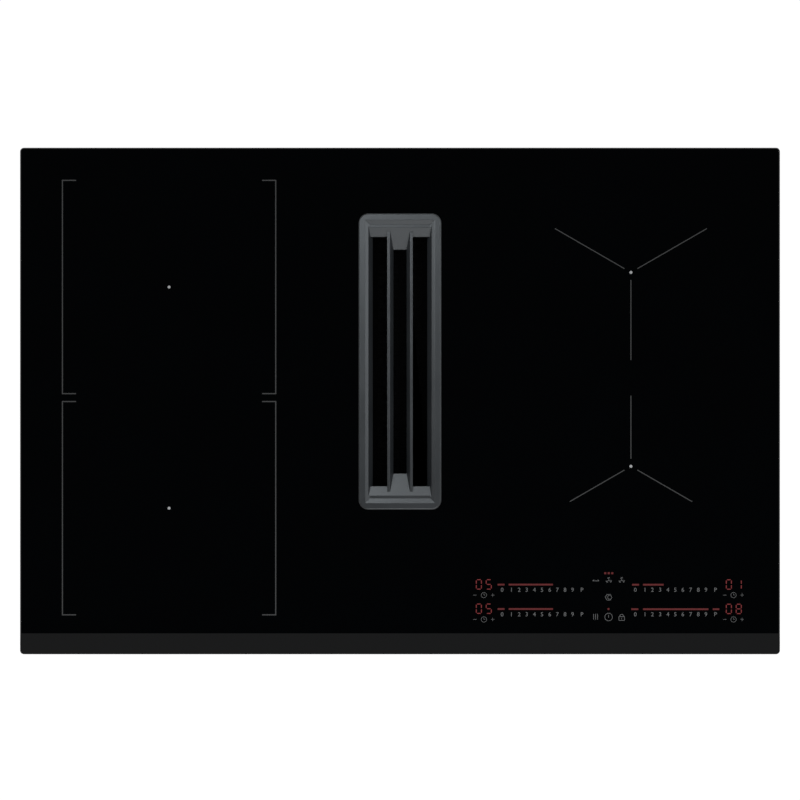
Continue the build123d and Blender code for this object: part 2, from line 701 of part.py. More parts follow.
def rivet_places():
    return [(side, rivet_y) for side, y in clip_places() for rivet_y in spread(2, CLIP_WIDTH / 2, y)]


def retaining_clips():
    """Leaf springs that bow out against the sides of the cut-out."""
    clips = []
    for side, y in clip_places():
        face = side * CASE.x1
        foot_top = CLIP_LOW + CLIP_FOOT
        rise = CLIP_HIGH - foot_top
        spine = [
            (face, CLIP_LOW),
            (face, foot_top),
            (face + side * CLIP_BOW, foot_top + rise * 0.45),
            (face + side * CLIP_BOW, foot_top + rise * 0.57),
            (face + side * CLIP_BOW * 0.25, foot_top + rise),
        ]
        outer = [(x + side * CLIP_STEEL, z) for x, z in spine]
        clips.append(prism_along_y(spine + outer[::-1], y - CLIP_WIDTH / 2, y + CLIP_WIDTH / 2))
    reach = CASE.x1 + CLIP_STEEL + PAST
    holes = [rod_along_x(side * CASE_INSIDE.x1, side * reach, y, RIVET_Z, RIVET_RADIUS) for side, y in rivet_places()]
    return group([clip - holes for clip in clips])


def clip_rivets():
    outside = CASE.x1 + CLIP_STEEL
    rivets = []
    for side, y in rivet_places():
        shank = rod_along_x(side * CASE_INSIDE.x1, side * outside, y, RIVET_Z, RIVET_RADIUS)
        head_end = side * (outside + RIVET_HEAD_HEIGHT)
        head = rod_along_x(side * outside, head_end, y, RIVET_Z, RIVET_HEAD_RADIUS)
        tail_end = side * (CASE_INSIDE.x1 - RIVET_HEAD_HEIGHT)
        tail = rod_along_x(tail_end, side * CASE_INSIDE.x1, y, RIVET_Z, RIVET_HEAD_RADIUS)
        rivets.append(joined([shank, head, tail]))
    return group(rivets)


def floor_slots(blower):
    """Slots in the case floor beside a cooling blower, where its air comes in."""
    length = (FLOOR_SLOT_COUNT - 1) * FLOOR_SLOT_PITCH
    middle = blower.x1 + FLOOR_SLOT_GAP + length / 2
    slot_length = blower.depth - 2 * FLOOR_SLOT_INSET
    return [
        centred(FLOOR_SLOT_WIDTH, slot_length, x, blower.cy).slab(CASE_UNDER - PAST, CASE_FLOOR + PAST)
        for x in spread(FLOOR_SLOT_COUNT, FLOOR_SLOT_PITCH, middle)
    ]


def rear_slots(board):
    """Slots in the rear wall where the cooling air leaves."""
    z0 = CASE_FLOOR + REAR_SLOT_SILL
    half = REAR_SLOT_WIDTH / 2
    return [
        box(x - half, x + half, CASE_INSIDE.y1 - PAST, CASE.y1 + PAST, z0, z0 + REAR_SLOT_HEIGHT)
        for x in spread(REAR_SLOT_COUNT, REAR_SLOT_PITCH, board.cx)
    ]


def base_tray():
    """The sheet-metal case under the glass."""
    inner_radius = max(CASE_CORNER_RADIUS - CASE_SHEET, 1.0)
    tray = CASE.slab(CASE_UNDER, GLASS_UNDER - CASE_TOP_GAP, CASE_CORNER_RADIUS)
    tray -= CASE_INSIDE.slab(CASE_FLOOR, GLASS_UNDER + PAST, inner_radius)
    tray -= INTAKE.grown(FIT_GAP).slab(CASE_UNDER - PAST, CASE_FLOOR + PAST)
    tray -= case_screw_holes()
    tray -= [rod_along_x(side * CASE_INSIDE.x1, side * CASE.x1, y, RIVET_Z, RIVET_RADIUS) for side, y in rivet_places()]
    tray -= rod_along_y(GLAND_X, CASE_INSIDE.y1 - PAST, CASE.y1 + PAST, GLAND_Z, GLAND_THREAD)
    for blower, board in ((LEFT_BLOWER, LEFT_BOARD), (RIGHT_BLOWER, RIGHT_BOARD)):
        tray -= floor_slots(blower) + rear_slots(board)
    return tray


# --------------------------------------------------------------------- intake
def drain_slots(z0, z1):
    """A row of slots that lets spilt liquid through, beside the carbon filter."""
    return [
        centred(DRAIN_SLOT_WIDTH, DRAIN_SLOT_LENGTH, INTAKE.cx - DRAIN_OFFSET, y).slab(z0 - PAST, z1 + PAST)
        for y in spread(DRAIN_SLOT_COUNT, DRAIN_SLOT_PITCH, INTAKE.cy)
    ]


def side_window(x0, x1):
    """The opening through a right-hand wall, from the filter to the fan."""
    return box(x0 - PAST, x1 + PAST, INTAKE.y0 + WINDOW_MARGIN, INTAKE.y1 - WINDOW_MARGIN, WINDOW_LOW, WINDOW_HIGH)


def intake_box():
    """The well under the opening, with the filter ledge inside and a drain in its floor."""
    shell = INTAKE.slab(INTAKE_FLOOR_UNDER, INTAKE_TOP) - INTAKE_INSIDE.slab(INTAKE_FLOOR, INTAKE_TOP + PAST)
    flange = INTAKE.grown(INTAKE_FLANGE).ring(INTAKE_FLANGE + PAST, INTAKE_TOP - INTAKE_WALL, INTAKE_TOP)
    collar = INTAKE.grown(INTAKE_COLLAR).ring(INTAKE_COLLAR + PAST, CASE_FLOOR, CASE_FLOOR + INTAKE_WALL)
    ledge = INTAKE_INSIDE.grown(PAST).ring(LEDGE_WIDTH + PAST, LEDGE_UNDER, CASSETTE_UNDER)
    shell = joined([shell, flange, collar, ledge]) - side_window(INTAKE_INSIDE.x1, INTAKE.x1)
    return shell - drain_slots(INTAKE_FLOOR_UNDER, INTAKE_FLOOR)


def tray_runner():
    """The channel under the well that the drip tray slides in, on a lip along each side."""
    tunnel = Area(INTAKE_INSIDE.x0, INTAKE_INSIDE.x1, INTAKE.y0 - PAST, INTAKE_INSIDE.y1)
    between_lips = Area(tunnel.x0 + RAIL_LIP, tunnel.x1 - RAIL_LIP, tunnel.y0, tunnel.y1)
    channel = INTAKE.slab(BASE, INTAKE_FLOOR_UNDER) - tunnel.slab(DRAWER_UNDER, INTAKE_FLOOR_UNDER + PAST)
    return channel - between_lips.slab(BASE - PAST, INTAKE_FLOOR_UNDER + PAST)


def intake_seal():
    return INTAKE.grown(INTAKE_FLANGE).ring(INTAKE_FLANGE, INTAKE_TOP, GLASS_UNDER)


def window_seal():
    """Foam frame between the intake box and the air chamber."""
    width = WINDOW_SEAL_WIDTH
    frame = box(INTAKE.x1, PLENUM.x0, PLENUM.y0, PLENUM.y1, SCROLL_TOP, CASE_UNDER)
    hole = PLENUM.grown(-width)
    return frame - box(INTAKE.x1 - PAST, PLENUM.x0 + PAST, hole.y0, hole.y1, SCROLL_TOP + width, CASE_UNDER - width)


def drip_tray():
    """A drawer under the intake that catches what runs down through the filter."""
    inside = INTAKE_INSIDE.grown(-DRAWER_GAP)
    tray = Area(inside.x0, inside.x1, INTAKE.y0, inside.y1)
    basin = tray.slab(DRAWER_UNDER, DRAWER_TOP)
    basin -= tray.grown(-DRAWER_WALL).slab(DRAWER_UNDER + DRAWER_WALL, DRAWER_TOP + PAST)
    pull = Area(-DRAWER_PULL_WIDTH / 2, DRAWER_PULL_WIDTH / 2, tray.y0 - DRAWER_PULL, tray.y0 + DRAWER_WALL)
    grip = pull.slab(DRAWER_TOP - DRAWER_WALL, DRAWER_TOP)
    lip = box(pull.x0, pull.x1, pull.y0, pull.y0 + DRAWER_WALL, DRAWER_TOP - DRAWER_PULL, DRAWER_TOP)
    return joined([basin, grip, lip])


# -------------------------------------------------------------------- filters
def filter_cassette():
    """The tub that lifts out with both filters in it."""
    tub = CASSETTE.slab(CASSETTE_UNDER, CASSETTE_TOP, PLUG_RADIUS)
    tub -= CASSETTE_INSIDE.slab(CASSETTE_FLOOR, CASSETTE_TOP + PAST, TUB_RADIUS)
    tub -= side_window(CASSETTE_INSIDE.x1, CASSETTE.x1)
    rib_x = CARBON.x0 - CARBON_CLEARANCE
    rib_top = CASSETTE_FLOOR + GUIDE_RIB
    tub += box(rib_x - CASSETTE_WALL, rib_x, CASSETTE.y0, CASSETTE.y1, CASSETTE_UNDER, rib_top)
    return tub - drain_slots(CASSETTE_UNDER, CASSETTE_FLOOR)


def carbon_filter():
    """A block of activated carbon with square air channels, standing before the window."""
    rows = fitting(CARBON_TOP - CASSETTE_FLOOR, CARBON_PITCH)
    columns = fitting(CARBON.depth, CARBON_PITCH)
    half = CARBON_CELL / 2
    channels = [
        box(CARBON.x0 - PAST, CARBON.x1 + PAST, y - half, y + half, z - half, z + half)
        for z in spread(rows, CARBON_PITCH, (CASSETTE_FLOOR + CARBON_TOP) / 2)
        for y in spread(columns, CARBON_PITCH, CARBON.cy)
    ]
    return CARBON.slab(CASSETTE_FLOOR, CARBON_TOP, TUB_RADIUS) - channels


def grease_filter():
    """A perforated metal basket that hangs in the cassette by its flange."""
    lap = CASSETTE_WALL + BASKET_GAP + BASKET_SHEET
    corner = max(TUB_RADIUS - BASKET_GAP, 0.5)
    flange = CASSETTE.ring(lap, CASSETTE_TOP, CASSETTE_TOP + BASKET_SHEET, PLUG_RADIUS)
    walls = BASKET.ring(BASKET_SHEET, BASKET_UNDER, CASSETTE_TOP + BASKET_SHEET, corner)
    floor = BASKET.slab(BASKET_UNDER, BASKET_UNDER + BASKET_SHEET, corner)
    floor -= [
        centred(BASKET_HOLE, BASKET_HOLE, x, y).slab(BASKET_UNDER - PAST, BASKET_UNDER + BASKET_SHEET + PAST)
        for x in spread(fitting(BASKET.width - BASKET_PITCH, BASKET_PITCH), BASKET_PITCH, BASKET.cx)
        for y in spread(fitting(BASKET.depth - BASKET_PITCH, BASKET_PITCH), BASKET_PITCH, BASKET.cy)
    ]
    return joined([flange, walls, floor])


# --------------------------------------------------------------------- grille
def between(low, high, share):
    """The rectangle that lies part of the way from one rectangle to another."""
    pairs = ((low.x0, high.x0), (low.x1, high.x1), (low.y0, high.y0), (low.y1, high.y1))
    return Area(*[start + (end - start) * share for start, end in pairs])


def scooped_bay(top, z_top, foot, z_scoop, z_straight):
    """An air way through the grille: a shallow scoop at each end, sides that lean in, then an upright drop."""
    level = between(foot, top, (z_scoop - z_straight) / (z_top - z_straight))
    edge = Area(level.x0, level.x1, foot.y0, foot.y1)
    pieces = [taper(edge, z_scoop, top, z_top), foot.slab(GRILLE_FOOT, z_straight)]
    if z_scoop > z_straight:
        pieces.append(taper(foot, z_straight, edge, z_scoop))
    return pieces


def grille():
    """The cast intake grille: a ring with a sloping lip, shallow scoops and two leaning vanes."""
    inside = GRILLE.grown(-RING_WIDTH)
    collar_under = GLASS_TOP - GRILLE_COLLAR
    foot = Area(
        inside.x0 + SIDE_WALL_RUN - GRILLE_FOOT_WALL,
        inside.x1 - SIDE_WALL_RUN + GRILLE_FOOT_WALL,
        inside.y0 + SIDE_SCOOP_RUN - GRILLE_FOOT_WALL,
        inside.y1 - SIDE_SCOOP_RUN + GRILLE_FOOT_WALL,
    )
    ring = GRILLE.slab(RING_UNDER, RING_TOP, GRILLE_CORNER_RADIUS)
    ring = chamfer(ring.faces().sort_by(Axis.Z)[-1].edges(), RING_CHAMFER)
    collar = CASSETTE.slab(collar_under, RING_UNDER, PLUG_RADIUS)
    body = joined([ring, collar, taper(foot, GRILLE_FOOT, CASSETTE, collar_under, PLUG_RADIUS)])

    vane_outer = VANE_OFFSET + VANE_TOP / 2
    vane_inner = VANE_OFFSET - VANE_TOP / 2
    foot_outer = VANE_OFFSET - VANE_LEAN + VANE_FOOT / 2
    foot_inner = VANE_OFFSET - VANE_LEAN - VANE_FOOT / 2
    crest_run = VANE_DROP / SCOOP_SLOPE
    over = Area(-vane_outer, vane_outer, inside.y0, inside.y1)
    at_crest = Area(-vane_outer, vane_outer, inside.y0 + crest_run, inside.y1 - crest_run)
    middle_top = Area(-vane_inner, vane_inner, at_crest.y0, at_crest.y1)
    middle_foot = Area(-foot_inner, foot_inner, inside.y0 + MIDDLE_SCOOP_RUN, inside.y1 - MIDDLE_SCOOP_RUN)
    side_top = Area(vane_outer, inside.x1, inside.y0, inside.y1)
    side_foot = Area(
        foot_outer, inside.x1 - SIDE_WALL_RUN, inside.y0 + SIDE_SCOOP_RUN, inside.y1 - SIDE_SCOOP_RUN
    )
    slope = RING_LIP / RING_LIP_DROP
    side_end = RING_TOP - SIDE_SCOOP_RUN * SCOOP_SLOPE
    middle_end = RING_TOP - MIDDLE_SCOOP_RUN * SCOOP_SLOPE
    under_plate = middle_end - SCOOP_PLATE
    hollow = Area(-foot_inner, foot_inner, side_foot.y0, side_foot.y1)
    bays = [
        taper(inside.grown(-slope * PAST), RING_TOP - RING_LIP_DROP - PAST, inside.grown(RING_LIP), RING_TOP),
        taper(at_crest, VANE_CREST, over, RING_TOP),
        hollow.slab(GRILLE_FOOT, under_plate),
    ]
    bays += scooped_bay(middle_top, VANE_CREST, middle_foot, middle_end, middle_end)
    bays += scooped_bay(side_top, RING_TOP, side_foot, side_end, middle_end)
    bays += scooped_bay(side_top.mirrored(), RING_TOP, side_foot.mirrored(), side_end, middle_end)
    return body - bays


def grille_pads():
    """Thin rubber pads under the ring, so that metal never touches glass."""
    width = RING_LAP - 2 * PAD_INSET
    x = GRILLE.x1 - RING_LAP / 2
    y_pitch = GRILLE.depth / 2 - GRILLE_CORNER_RADIUS - PAD_LENGTH
    y_end = GRILLE.depth / 2 - RING_LAP / 2
    pads = []
    for side in (-1, 1):
        pads += [centred(width, PAD_LENGTH, side * x, y) for y in spread(3, y_pitch, GRILLE.cy)]
        pads.append(centred(PAD_LENGTH, width, GRILLE.cx, GRILLE.cy + side * y_end))
    return group([pad.slab(GLASS_TOP, RING_UNDER) for pad in pads])


# -------------------------------------------------------- fan housing and duct
def spiral_arcs():
    """The arcs of the volute: centre, radius, first angle and sweep of each."""
    half = VOLUTE_STEP / 2
    return [
        ((FAN_X - half, FAN_Y + half), VOLUTE_RADIUS - VOLUTE_STEP, TONGUE_ANGLE, 90 - TONGUE_ANGLE),
        ((FAN_X - half, FAN_Y - half), VOLUTE_RADIUS, 90, 90),
        ((FAN_X + half, FAN_Y - half), VOLUTE_RADIUS + VOLUTE_STEP, 180, 90),
        ((FAN_X + half, FAN_Y + half), VOLUTE_RADIUS + 2 * VOLUTE_STEP, 270, 90),
    ]


def volute():
    """The air space of the fan housing, seen from above, run on past its outlet."""
    arcs = [CenterArc(centre, radius, start, sweep) for centre, radius, start, sweep in spiral_arcs()]
    left, right = DUCT_X - DUCT_INSIDE_HALF, DUCT_X + DUCT_INSIDE_HALF
    end = SCROLL_END + HOUSING_WALL + SCROLL_RIM
    corners = [arcs[-1] @ 1, (right, SCROLL_END), (right, end), (left, end), (left, SCROLL_END), arcs[0] @ 0]
    return make_face(arcs + [Line(a, b) for a, b in zip(corners, corners[1:])])


def volute_slab(margin, z0, z1):
    """The volute's outline, grown by a margin and cut square at the outlet."""
    outline = volute()
    if margin > 0:
        outline = offset(outline, margin, kind=Kind.ARC)
    slab = Pos(0, 0, z0) * extrude(outline, z1 - z0, dir=(0, 0, 1))
    reach = GLASS_WIDTH
    return slab - box(-reach, reach, SCROLL_END, SCROLL_END + reach, z0 - PAST, z1 + PAST)


def rim_screw_places():
    """Places on the rim of the fan housing, out from its wall."""
    out = HOUSING_WALL + SCROLL_RIM / 2
    places = []
    for (x, y), radius, start, sweep in spiral_arcs()[1:]:
        places += [polar(radius + out, start + sweep * part, x, y) for part in (0.3, 0.8)]
    (x, y), radius = spiral_arcs()[-1][:2]
    run_x = DUCT_X + DUCT_INSIDE_HALF - x - radius
    places += [(x + radius + out + run_x * part, y + (SCROLL_END - y) * part) for part in (0.35, 0.75)]
    return places


def rim_screw_shanks():
    return [rod(x, y, SCROLL_TOP - RIM_THICKNESS, DECK_TOP, SCREW_RADIUS) for x, y in rim_screw_places()]


def fan_scroll():
    """The spiral housing of the fan, open at the top and at its outlet."""
    rim_under = SCROLL_TOP - RIM_THICKNESS
    floor = volute_slab(HOUSING_WALL, BASE, SCROLL_FLOOR)
    walls = volute_slab(HOUSING_WALL, SCROLL_FLOOR, SCROLL_TOP)
    rim = volute_slab(HOUSING_WALL + SCROLL_RIM, rim_under, SCROLL_TOP)
    shell = joined([floor, walls, rim]) - volute_slab(0.0, SCROLL_FLOOR, SCROLL_TOP + PAST)
    return shell - rim_screw_shanks()


def scroll_screws():
    rim_under = SCROLL_TOP - RIM_THICKNESS
    heads = [rod(x, y, rim_under - SCREW_HEAD_HEIGHT, rim_under, SCREW_HEAD_RADIUS) for x, y in rim_screw_places()]
    return group([shank + head for shank, head in zip(rim_screw_shanks(), heads)])


def plenum_base():
    """The deck over the fan, with a seat for the inlet nozzle and the walls of the air chamber."""
    seat_under = DECK_TOP - NOZZLE_FLANGE_THICKNESS
    deck = volute_slab(HOUSING_WALL + SCROLL_RIM, SCROLL_TOP, DECK_TOP)
    deck += PLENUM.slab(SCROLL_TOP, DECK_TOP)
    air = Area(PLENUM.x0 - PAST, PLENUM.x1 - HOUSING_WALL, PLENUM.y0 + HOUSING_WALL, PLENUM.y1 - HOUSING_WALL)
    walls = PLENUM.slab(DECK_TOP, LID_UNDER) - air.slab(DECK_TOP - PAST, LID_UNDER + PAST)
    deck = joined([deck, walls]) - rim_screw_shanks()
    deck -= rod(FAN_X, FAN_Y, SCROLL_TOP - PAST, DECK_TOP + PAST, NOZZLE_RADIUS)
    return deck - rod(FAN_X, FAN_Y, seat_under, DECK_TOP + PAST, NOZZLE_RADIUS + NOZZLE_FLANGE)


def inlet_nozzle():
    """The ring that drops into the deck and leads the air into the impeller's eye."""
    seat_under = DECK_TOP - NOZZLE_FLANGE_THICKNESS
    outline = [
        (NOZZLE_INSIDE, EYE_TOP - NOZZLE_LAP),
        (NOZZLE_RADIUS, EYE_TOP - NOZZLE_LAP),
        (NOZZLE_RADIUS, seat_under),
        (NOZZLE_RADIUS + NOZZLE_FLANGE, seat_under),
        (NOZZLE_RADIUS + NOZZLE_FLANGE, DECK_TOP),
        (NOZZLE_INSIDE + NOZZLE_LEAD_IN, DECK_TOP),
        (NOZZLE_INSIDE, DECK_TOP - 2 * NOZZLE_LEAD_IN),
    ]
    return Pos(FAN_X, FAN_Y, 0) * turned(outline)


def plenum_lid():
    return Area(PLENUM.x0, PLENUM.x1 + LID_LAP, PLENUM.y0 - LID_LAP, PLENUM.y1 + LID_LAP).slab(LID_UNDER, CASE_UNDER)


def duct_section(width, height, radius, y0, y1):
    """A bar along Y whose section is a rounded rectangle round the duct's axis."""
    section = Plane.XZ * RectangleRounded(width, height, radius)
    return Pos(DUCT_X, y0, DUCT_Z) * extrude(section, y1 - y0, dir=(0, 1, 0))


def duct_spigot():
    """The flat outlet that the duct is pushed over, on its flange."""
    flange_reach = DUCT_WIDTH / 2 + DUCT_FLANGE
    flange_top = DUCT_Z + DUCT_HEIGHT / 2 + DUCT_FLANGE
    flange_end = SCROLL_END + DUCT_FLANGE_THICKNESS
    flange = box(DUCT_X - flange_reach, DUCT_X + flange_reach, SCROLL_END, flange_end, BASE, flange_top)
    sleeve = duct_section(DUCT_WIDTH, DUCT_HEIGHT, DUCT_CORNER_RADIUS, SCROLL_END, SPIGOT_END)
    inside_height = DUCT_HEIGHT - 2 * DUCT_WALL
    inside_radius = max(DUCT_CORNER_RADIUS - DUCT_WALL, 1.0)
    inside = duct_section(
        2 * DUCT_INSIDE_HALF, inside_height, inside_radius, SCROLL_END - PAST, SPIGOT_END + PAST
    )
    return flange + sleeve - inside


# -------------------------------------------------------------- fan and motor
def motor_plate():
    plate = rod(FAN_X, FAN_Y, MOUNT_PLATE_UNDER, MOTOR_UNDER, MOUNT_RADIUS)
    vent_circle = (BEARING_RADIUS + MOTOR_RADIUS) / 2
    vents = around(6, vent_circle, FAN_X, FAN_Y)
    return plate - [rod(x, y, MOUNT_PLATE_UNDER - PAST, MOTOR_UNDER + PAST, MOUNT_VENT_RADIUS) for x, y in vents]


def motor_grommets():
    places = around(GROMMET_COUNT, GROMMET_CIRCLE, FAN_X, FAN_Y, 30)
    return group([rod(x, y, SCROLL_FLOOR, MOUNT_PLATE_UNDER, GROMMET_RADIUS) for x, y in places])


def motor_housing():
    """The motor's can, with a seat for a bearing at each end."""
    can = rod(FAN_X, FAN_Y, MOTOR_UNDER, MOTOR_TOP, MOTOR_RADIUS)
    can -= rod(FAN_X, FAN_Y, MOTOR_UNDER + MOTOR_WALL, MOTOR_TOP - MOTOR_WALL, MOTOR_RADIUS - MOTOR_WALL)
    for level in (LOW_BEARING, HIGH_BEARING):
        seat_radius = BEARING_RADIUS + BEARING_SEAT
        can += tube(FAN_X, FAN_Y, level, level + BEARING_HEIGHT, seat_radius, BEARING_RADIUS)
    return can - rod(FAN_X, FAN_Y, MOTOR_TOP - MOTOR_WALL - PAST, MOTOR_TOP + PAST, SHAFT_HOLE_RADIUS)


def motor_bearings():
    bore = SHAFT_RADIUS + SHAFT_CLEARANCE
    levels = (LOW_BEARING, HIGH_BEARING)
    return group([tube(FAN_X, FAN_Y, z, z + BEARING_HEIGHT, BEARING_RADIUS, bore) for z in levels])


def motor_stator():
    """Laminated stator with wound teeth facing the rotor."""
    outer = MOTOR_RADIUS - MOTOR_WALL
    top = STATOR_UNDER + STATOR_HEIGHT
    stator = tube(FAN_X, FAN_Y, STATOR_UNDER, top, outer, STATOR_RADIUS)
    slots = around(STATOR_SLOTS, (STATOR_RADIUS + outer) / 2, FAN_X, FAN_Y)
    slot_radius = (outer - STATOR_RADIUS) / 4
    return stator - [rod(x, y, STATOR_UNDER - PAST, top + PAST, slot_radius) for x, y in slots]


def motor_rotor():
    low = STATOR_UNDER - ROTOR_OVERHANG
    high = STATOR_UNDER + STATOR_HEIGHT + ROTOR_OVERHANG
    return tube(FAN_X, FAN_Y, low, high, STATOR_RADIUS - AIR_GAP, SHAFT_RADIUS)


def fan_shaft():
    return rod(FAN_X, FAN_Y, LOW_BEARING + FIT_GAP, HUB_TOP + NUT_HEIGHT + SHAFT_END, SHAFT_RADIUS)


def impeller_nut():
    nut = Pos(FAN_X, FAN_Y, HUB_TOP) * extrude(RegularPolygon(NUT_RADIUS, 6), NUT_HEIGHT, dir=(0, 0, 1))
    return nut - rod(FAN_X, FAN_Y, HUB_TOP - PAST, HUB_TOP + NUT_HEIGHT + PAST, SHAFT_RADIUS)


def impeller_blade():
    """A backward-swept blade on an arc from the eye to the rim, cut under the cone."""
    rim = IMPELLER_RADIUS - BLADE_RIM_MARGIN
    middle = (BLADE_INNER_RADIUS + rim) / 2 + BLADE_BELLY
    spine = ThreePointArc((BLADE_INNER_RADIUS, 0), polar(middle, -BLADE_SWEEP * 0.42), polar(rim, -BLADE_SWEEP))
    low = BACKPLATE_UNDER + BACKPLATE / 2
    blade = Pos(0, 0, low) * extrude(trace(spine, BLADE_THICKNESS), SHROUD_HIGH - low, dir=(0, 0, 1))
    eye_side = EYE_RADIUS / 2
    above = [
        (IMPELLER_RADIUS + PAST, SHROUD_LOW),
        (IMPELLER_RADIUS, SHROUD_LOW),
        (EYE_RADIUS, SHROUD_HIGH),
        (eye_side, SHROUD_LOW),
        (eye_side, EYE_TOP),
        (IMPELLER_RADIUS + PAST, EYE_TOP),
    ]
    return blade - turned(above)


def fan_impeller():
    """Back plate of the impeller with its dome over the motor, and the swept blades."""
    plate = [
        (IMPELLER_RADIUS, BACKPLATE_UNDER),
        (IMPELLER_RADIUS, BACKPLATE_UNDER + BACKPLATE),
        (DOME_RADIUS + BACKPLATE, BACKPLATE_UNDER + BACKPLATE),
        (DOME_RADIUS + BACKPLATE, DOME_UNDER + BACKPLATE),
        (HUB_RADIUS, DOME_UNDER + BACKPLATE),
        (HUB_RADIUS, HUB_TOP),
        (SHAFT_RADIUS, HUB_TOP),
        (SHAFT_RADIUS, DOME_UNDER),
        (DOME_RADIUS, DOME_UNDER),
        (DOME_RADIUS, BACKPLATE_UNDER),
    ]
    blade = impeller_blade()
    blades = [Rot(0, 0, i * 360 / BLADE_COUNT) * blade for i in range(BLADE_COUNT)]
    return Pos(FAN_X, FAN_Y, 0) * joined([turned(plate)] + blades)


def impeller_shroud():
    """The cone that closes the impeller over its blades, with the eye in its middle."""
    cone = [
        (IMPELLER_RADIUS, SHROUD_LOW),
        (IMPELLER_RADIUS, SHROUD_LOW + SHROUD_SKIN),
        (EYE_RADIUS + SHROUD_SKIN, SHROUD_HIGH + SHROUD_SKIN),
        (EYE_RADIUS + SHROUD_SKIN, EYE_TOP),
        (EYE_RADIUS, EYE_TOP),
        (EYE_RADIUS, SHROUD_HIGH),
    ]
    return Pos(FAN_X, FAN_Y, 0) * turned(cone)


# ----------------------------------------------------------------- coil stack
def round_winding(zone):
    x, y, reach = zone
    outer = reach - WINDING_INSET
    grooves = []
    for i in range(fitting(outer - WINDING_HOLE - TURN_PITCH, TURN_PITCH)):
        radius = WINDING_HOLE + (i + 1) * TURN_PITCH
        grooves.append(tube(x, y, MICA_UNDER - TURN_GROOVE, MICA_UNDER + PAST, radius, radius - TURN_GROOVE))
    return tube(x, y, WINDING_UNDER, MICA_UNDER, outer, WINDING_HOLE) - grooves


def square_winding(zone):
    outer = zone.grown(-WINDING_INSET)
    band = min(outer.width, outer.depth) / 2 - WINDING_HOLE
    grooves = []
    for i in range(fitting(band - TURN_PITCH, TURN_PITCH)):
        inset = (i + 1) * TURN_PITCH
        radius = max(WINDING_CORNER_RADIUS - inset, TURN_PITCH)
        turn = outer.grown(-inset)
        grooves.append(turn.ring(TURN_GROOVE, MICA_UNDER - TURN_GROOVE, MICA_UNDER + PAST, radius))
    return outer.ring(band, WINDING_UNDER, MICA_UNDER, WINDING_CORNER_RADIUS) - grooves


def coil_plates(z0, z1, margin):
    """One flat plate under or over each coil, a margin wider than the coil."""
    inset = WINDING_INSET - margin
    radius = WINDING_CORNER_RADIUS + margin
    plates = [zone.grown(-inset).slab(z0, z1, radius) for zone in (LEFT_REAR_ZONE, LEFT_FRONT_ZONE)]
    plates += [rod(x, y, z0, z1, reach - inset) for x, y, reach in (RIGHT_REAR_ZONE, RIGHT_FRONT_ZONE)]
    return plates


def coil_formers():
    sensors = [rod(x, y, FORMER_UNDER - PAST, WINDING_UNDER + PAST, SENSOR_RADIUS) for x, y in ZONE_CENTRES]
    return group([plate - sensors for plate in coil_plates(FORMER_UNDER, WINDING_UNDER, FORMER_MARGIN)])


def mica_sheets():
    return group(coil_plates(MICA_UNDER, GLASS_UNDER, 0.0))


def ferrite_bars():
    bars = []
    for (x, y), reach in zip(ZONE_CENTRES, ZONE_REACHES):
        line = Area(FERRITE_START, reach - WINDING_INSET, -FERRITE_WIDTH / 2, FERRITE_WIDTH / 2)
        bar = line.slab(FERRITE_UNDER, FORMER_UNDER)
        bars += [Pos(x, y, 0) * Rot(0, 0, (i + 0.5) * 360 / FERRITE_COUNT) * bar for i in range(FERRITE_COUNT)]
    return group(bars)


def zone_sensors():
    return group([rod(x, y, FERRITE_UNDER, MICA_UNDER, SENSOR_RADIUS) for x, y in ZONE_CENTRES])


def carrier_plate(area, centres):
    """Aluminium plate that carries the coils, with air holes between the ferrites."""
    plate = area.slab(CARRIER_UNDER, FERRITE_UNDER, CASE_CORNER_RADIUS)
    for x, y in centres:
        places = around(FERRITE_COUNT, CARRIER_HOLE_CIRCLE, x, y)
        plate -= [rod(px, py, CARRIER_UNDER - PAST, FERRITE_UNDER + PAST, CARRIER_HOLE_RADIUS) for px, py in places]
    return plate


def carrier_plates():
    return group([carrier_plate(LEFT_CARRIER, LEFT_CENTRES), carrier_plate(RIGHT_CARRIER, RIGHT_CENTRES)])


def carrier_posts():
    posts = []
    for area in (LEFT_CARRIER, RIGHT_CARRIER):
        inner = area.grown(-POST_MARGIN)
        places = inner.corners() + [(inner.x0, inner.cy), (inner.x1, inner.cy)]
        posts += [rod(x, y, CASE_FLOOR, CARRIER_UNDER, POST_RADIUS) for x, y in places]
    return group(posts)


# ---------------------------------------------------------------- electronics
def power_boards():
    return group([board.slab(BOARD_UNDER, BOARD_TOP) for board in (LEFT_BOARD, RIGHT_BOARD)])


def board_spacers():
    places = LEFT_BOARD.grown(-SPACER_MARGIN).corners() + RIGHT_BOARD.grown(-SPACER_MARGIN).corners()
    return group([rod(x, y, CASE_FLOOR, BOARD_UNDER, SPACER_RADIUS) for x, y in places])


def heat_sink(board, blower):
    """Extruded heat sink whose fins run with the blower's air."""
    half = HEAT_SINK_WIDTH / 2
    y0 = board.y0 + SPACER_MARGIN
    base = Area(blower.cx - half, blower.cx + half, y0, y0 + HEAT_SINK_LENGTH)
    pitch = (HEAT_SINK_WIDTH - FIN_THICKNESS) / (FIN_COUNT - 1)
    fins = [
        centred(FIN_THICKNESS, HEAT_SINK_LENGTH, x, base.cy).slab(BOARD_TOP, BOARD_TOP + HEAT_SINK_HEIGHT)
        for x in spread(FIN_COUNT, pitch, base.cx)
    ]
    return joined([base.slab(BOARD_TOP, BOARD_TOP + HEAT_SINK_BASE)] + fins)


def heat_sinks():
    return group([heat_sink(LEFT_BOARD, LEFT_BLOWER), heat_sink(RIGHT_BOARD, RIGHT_BLOWER)])


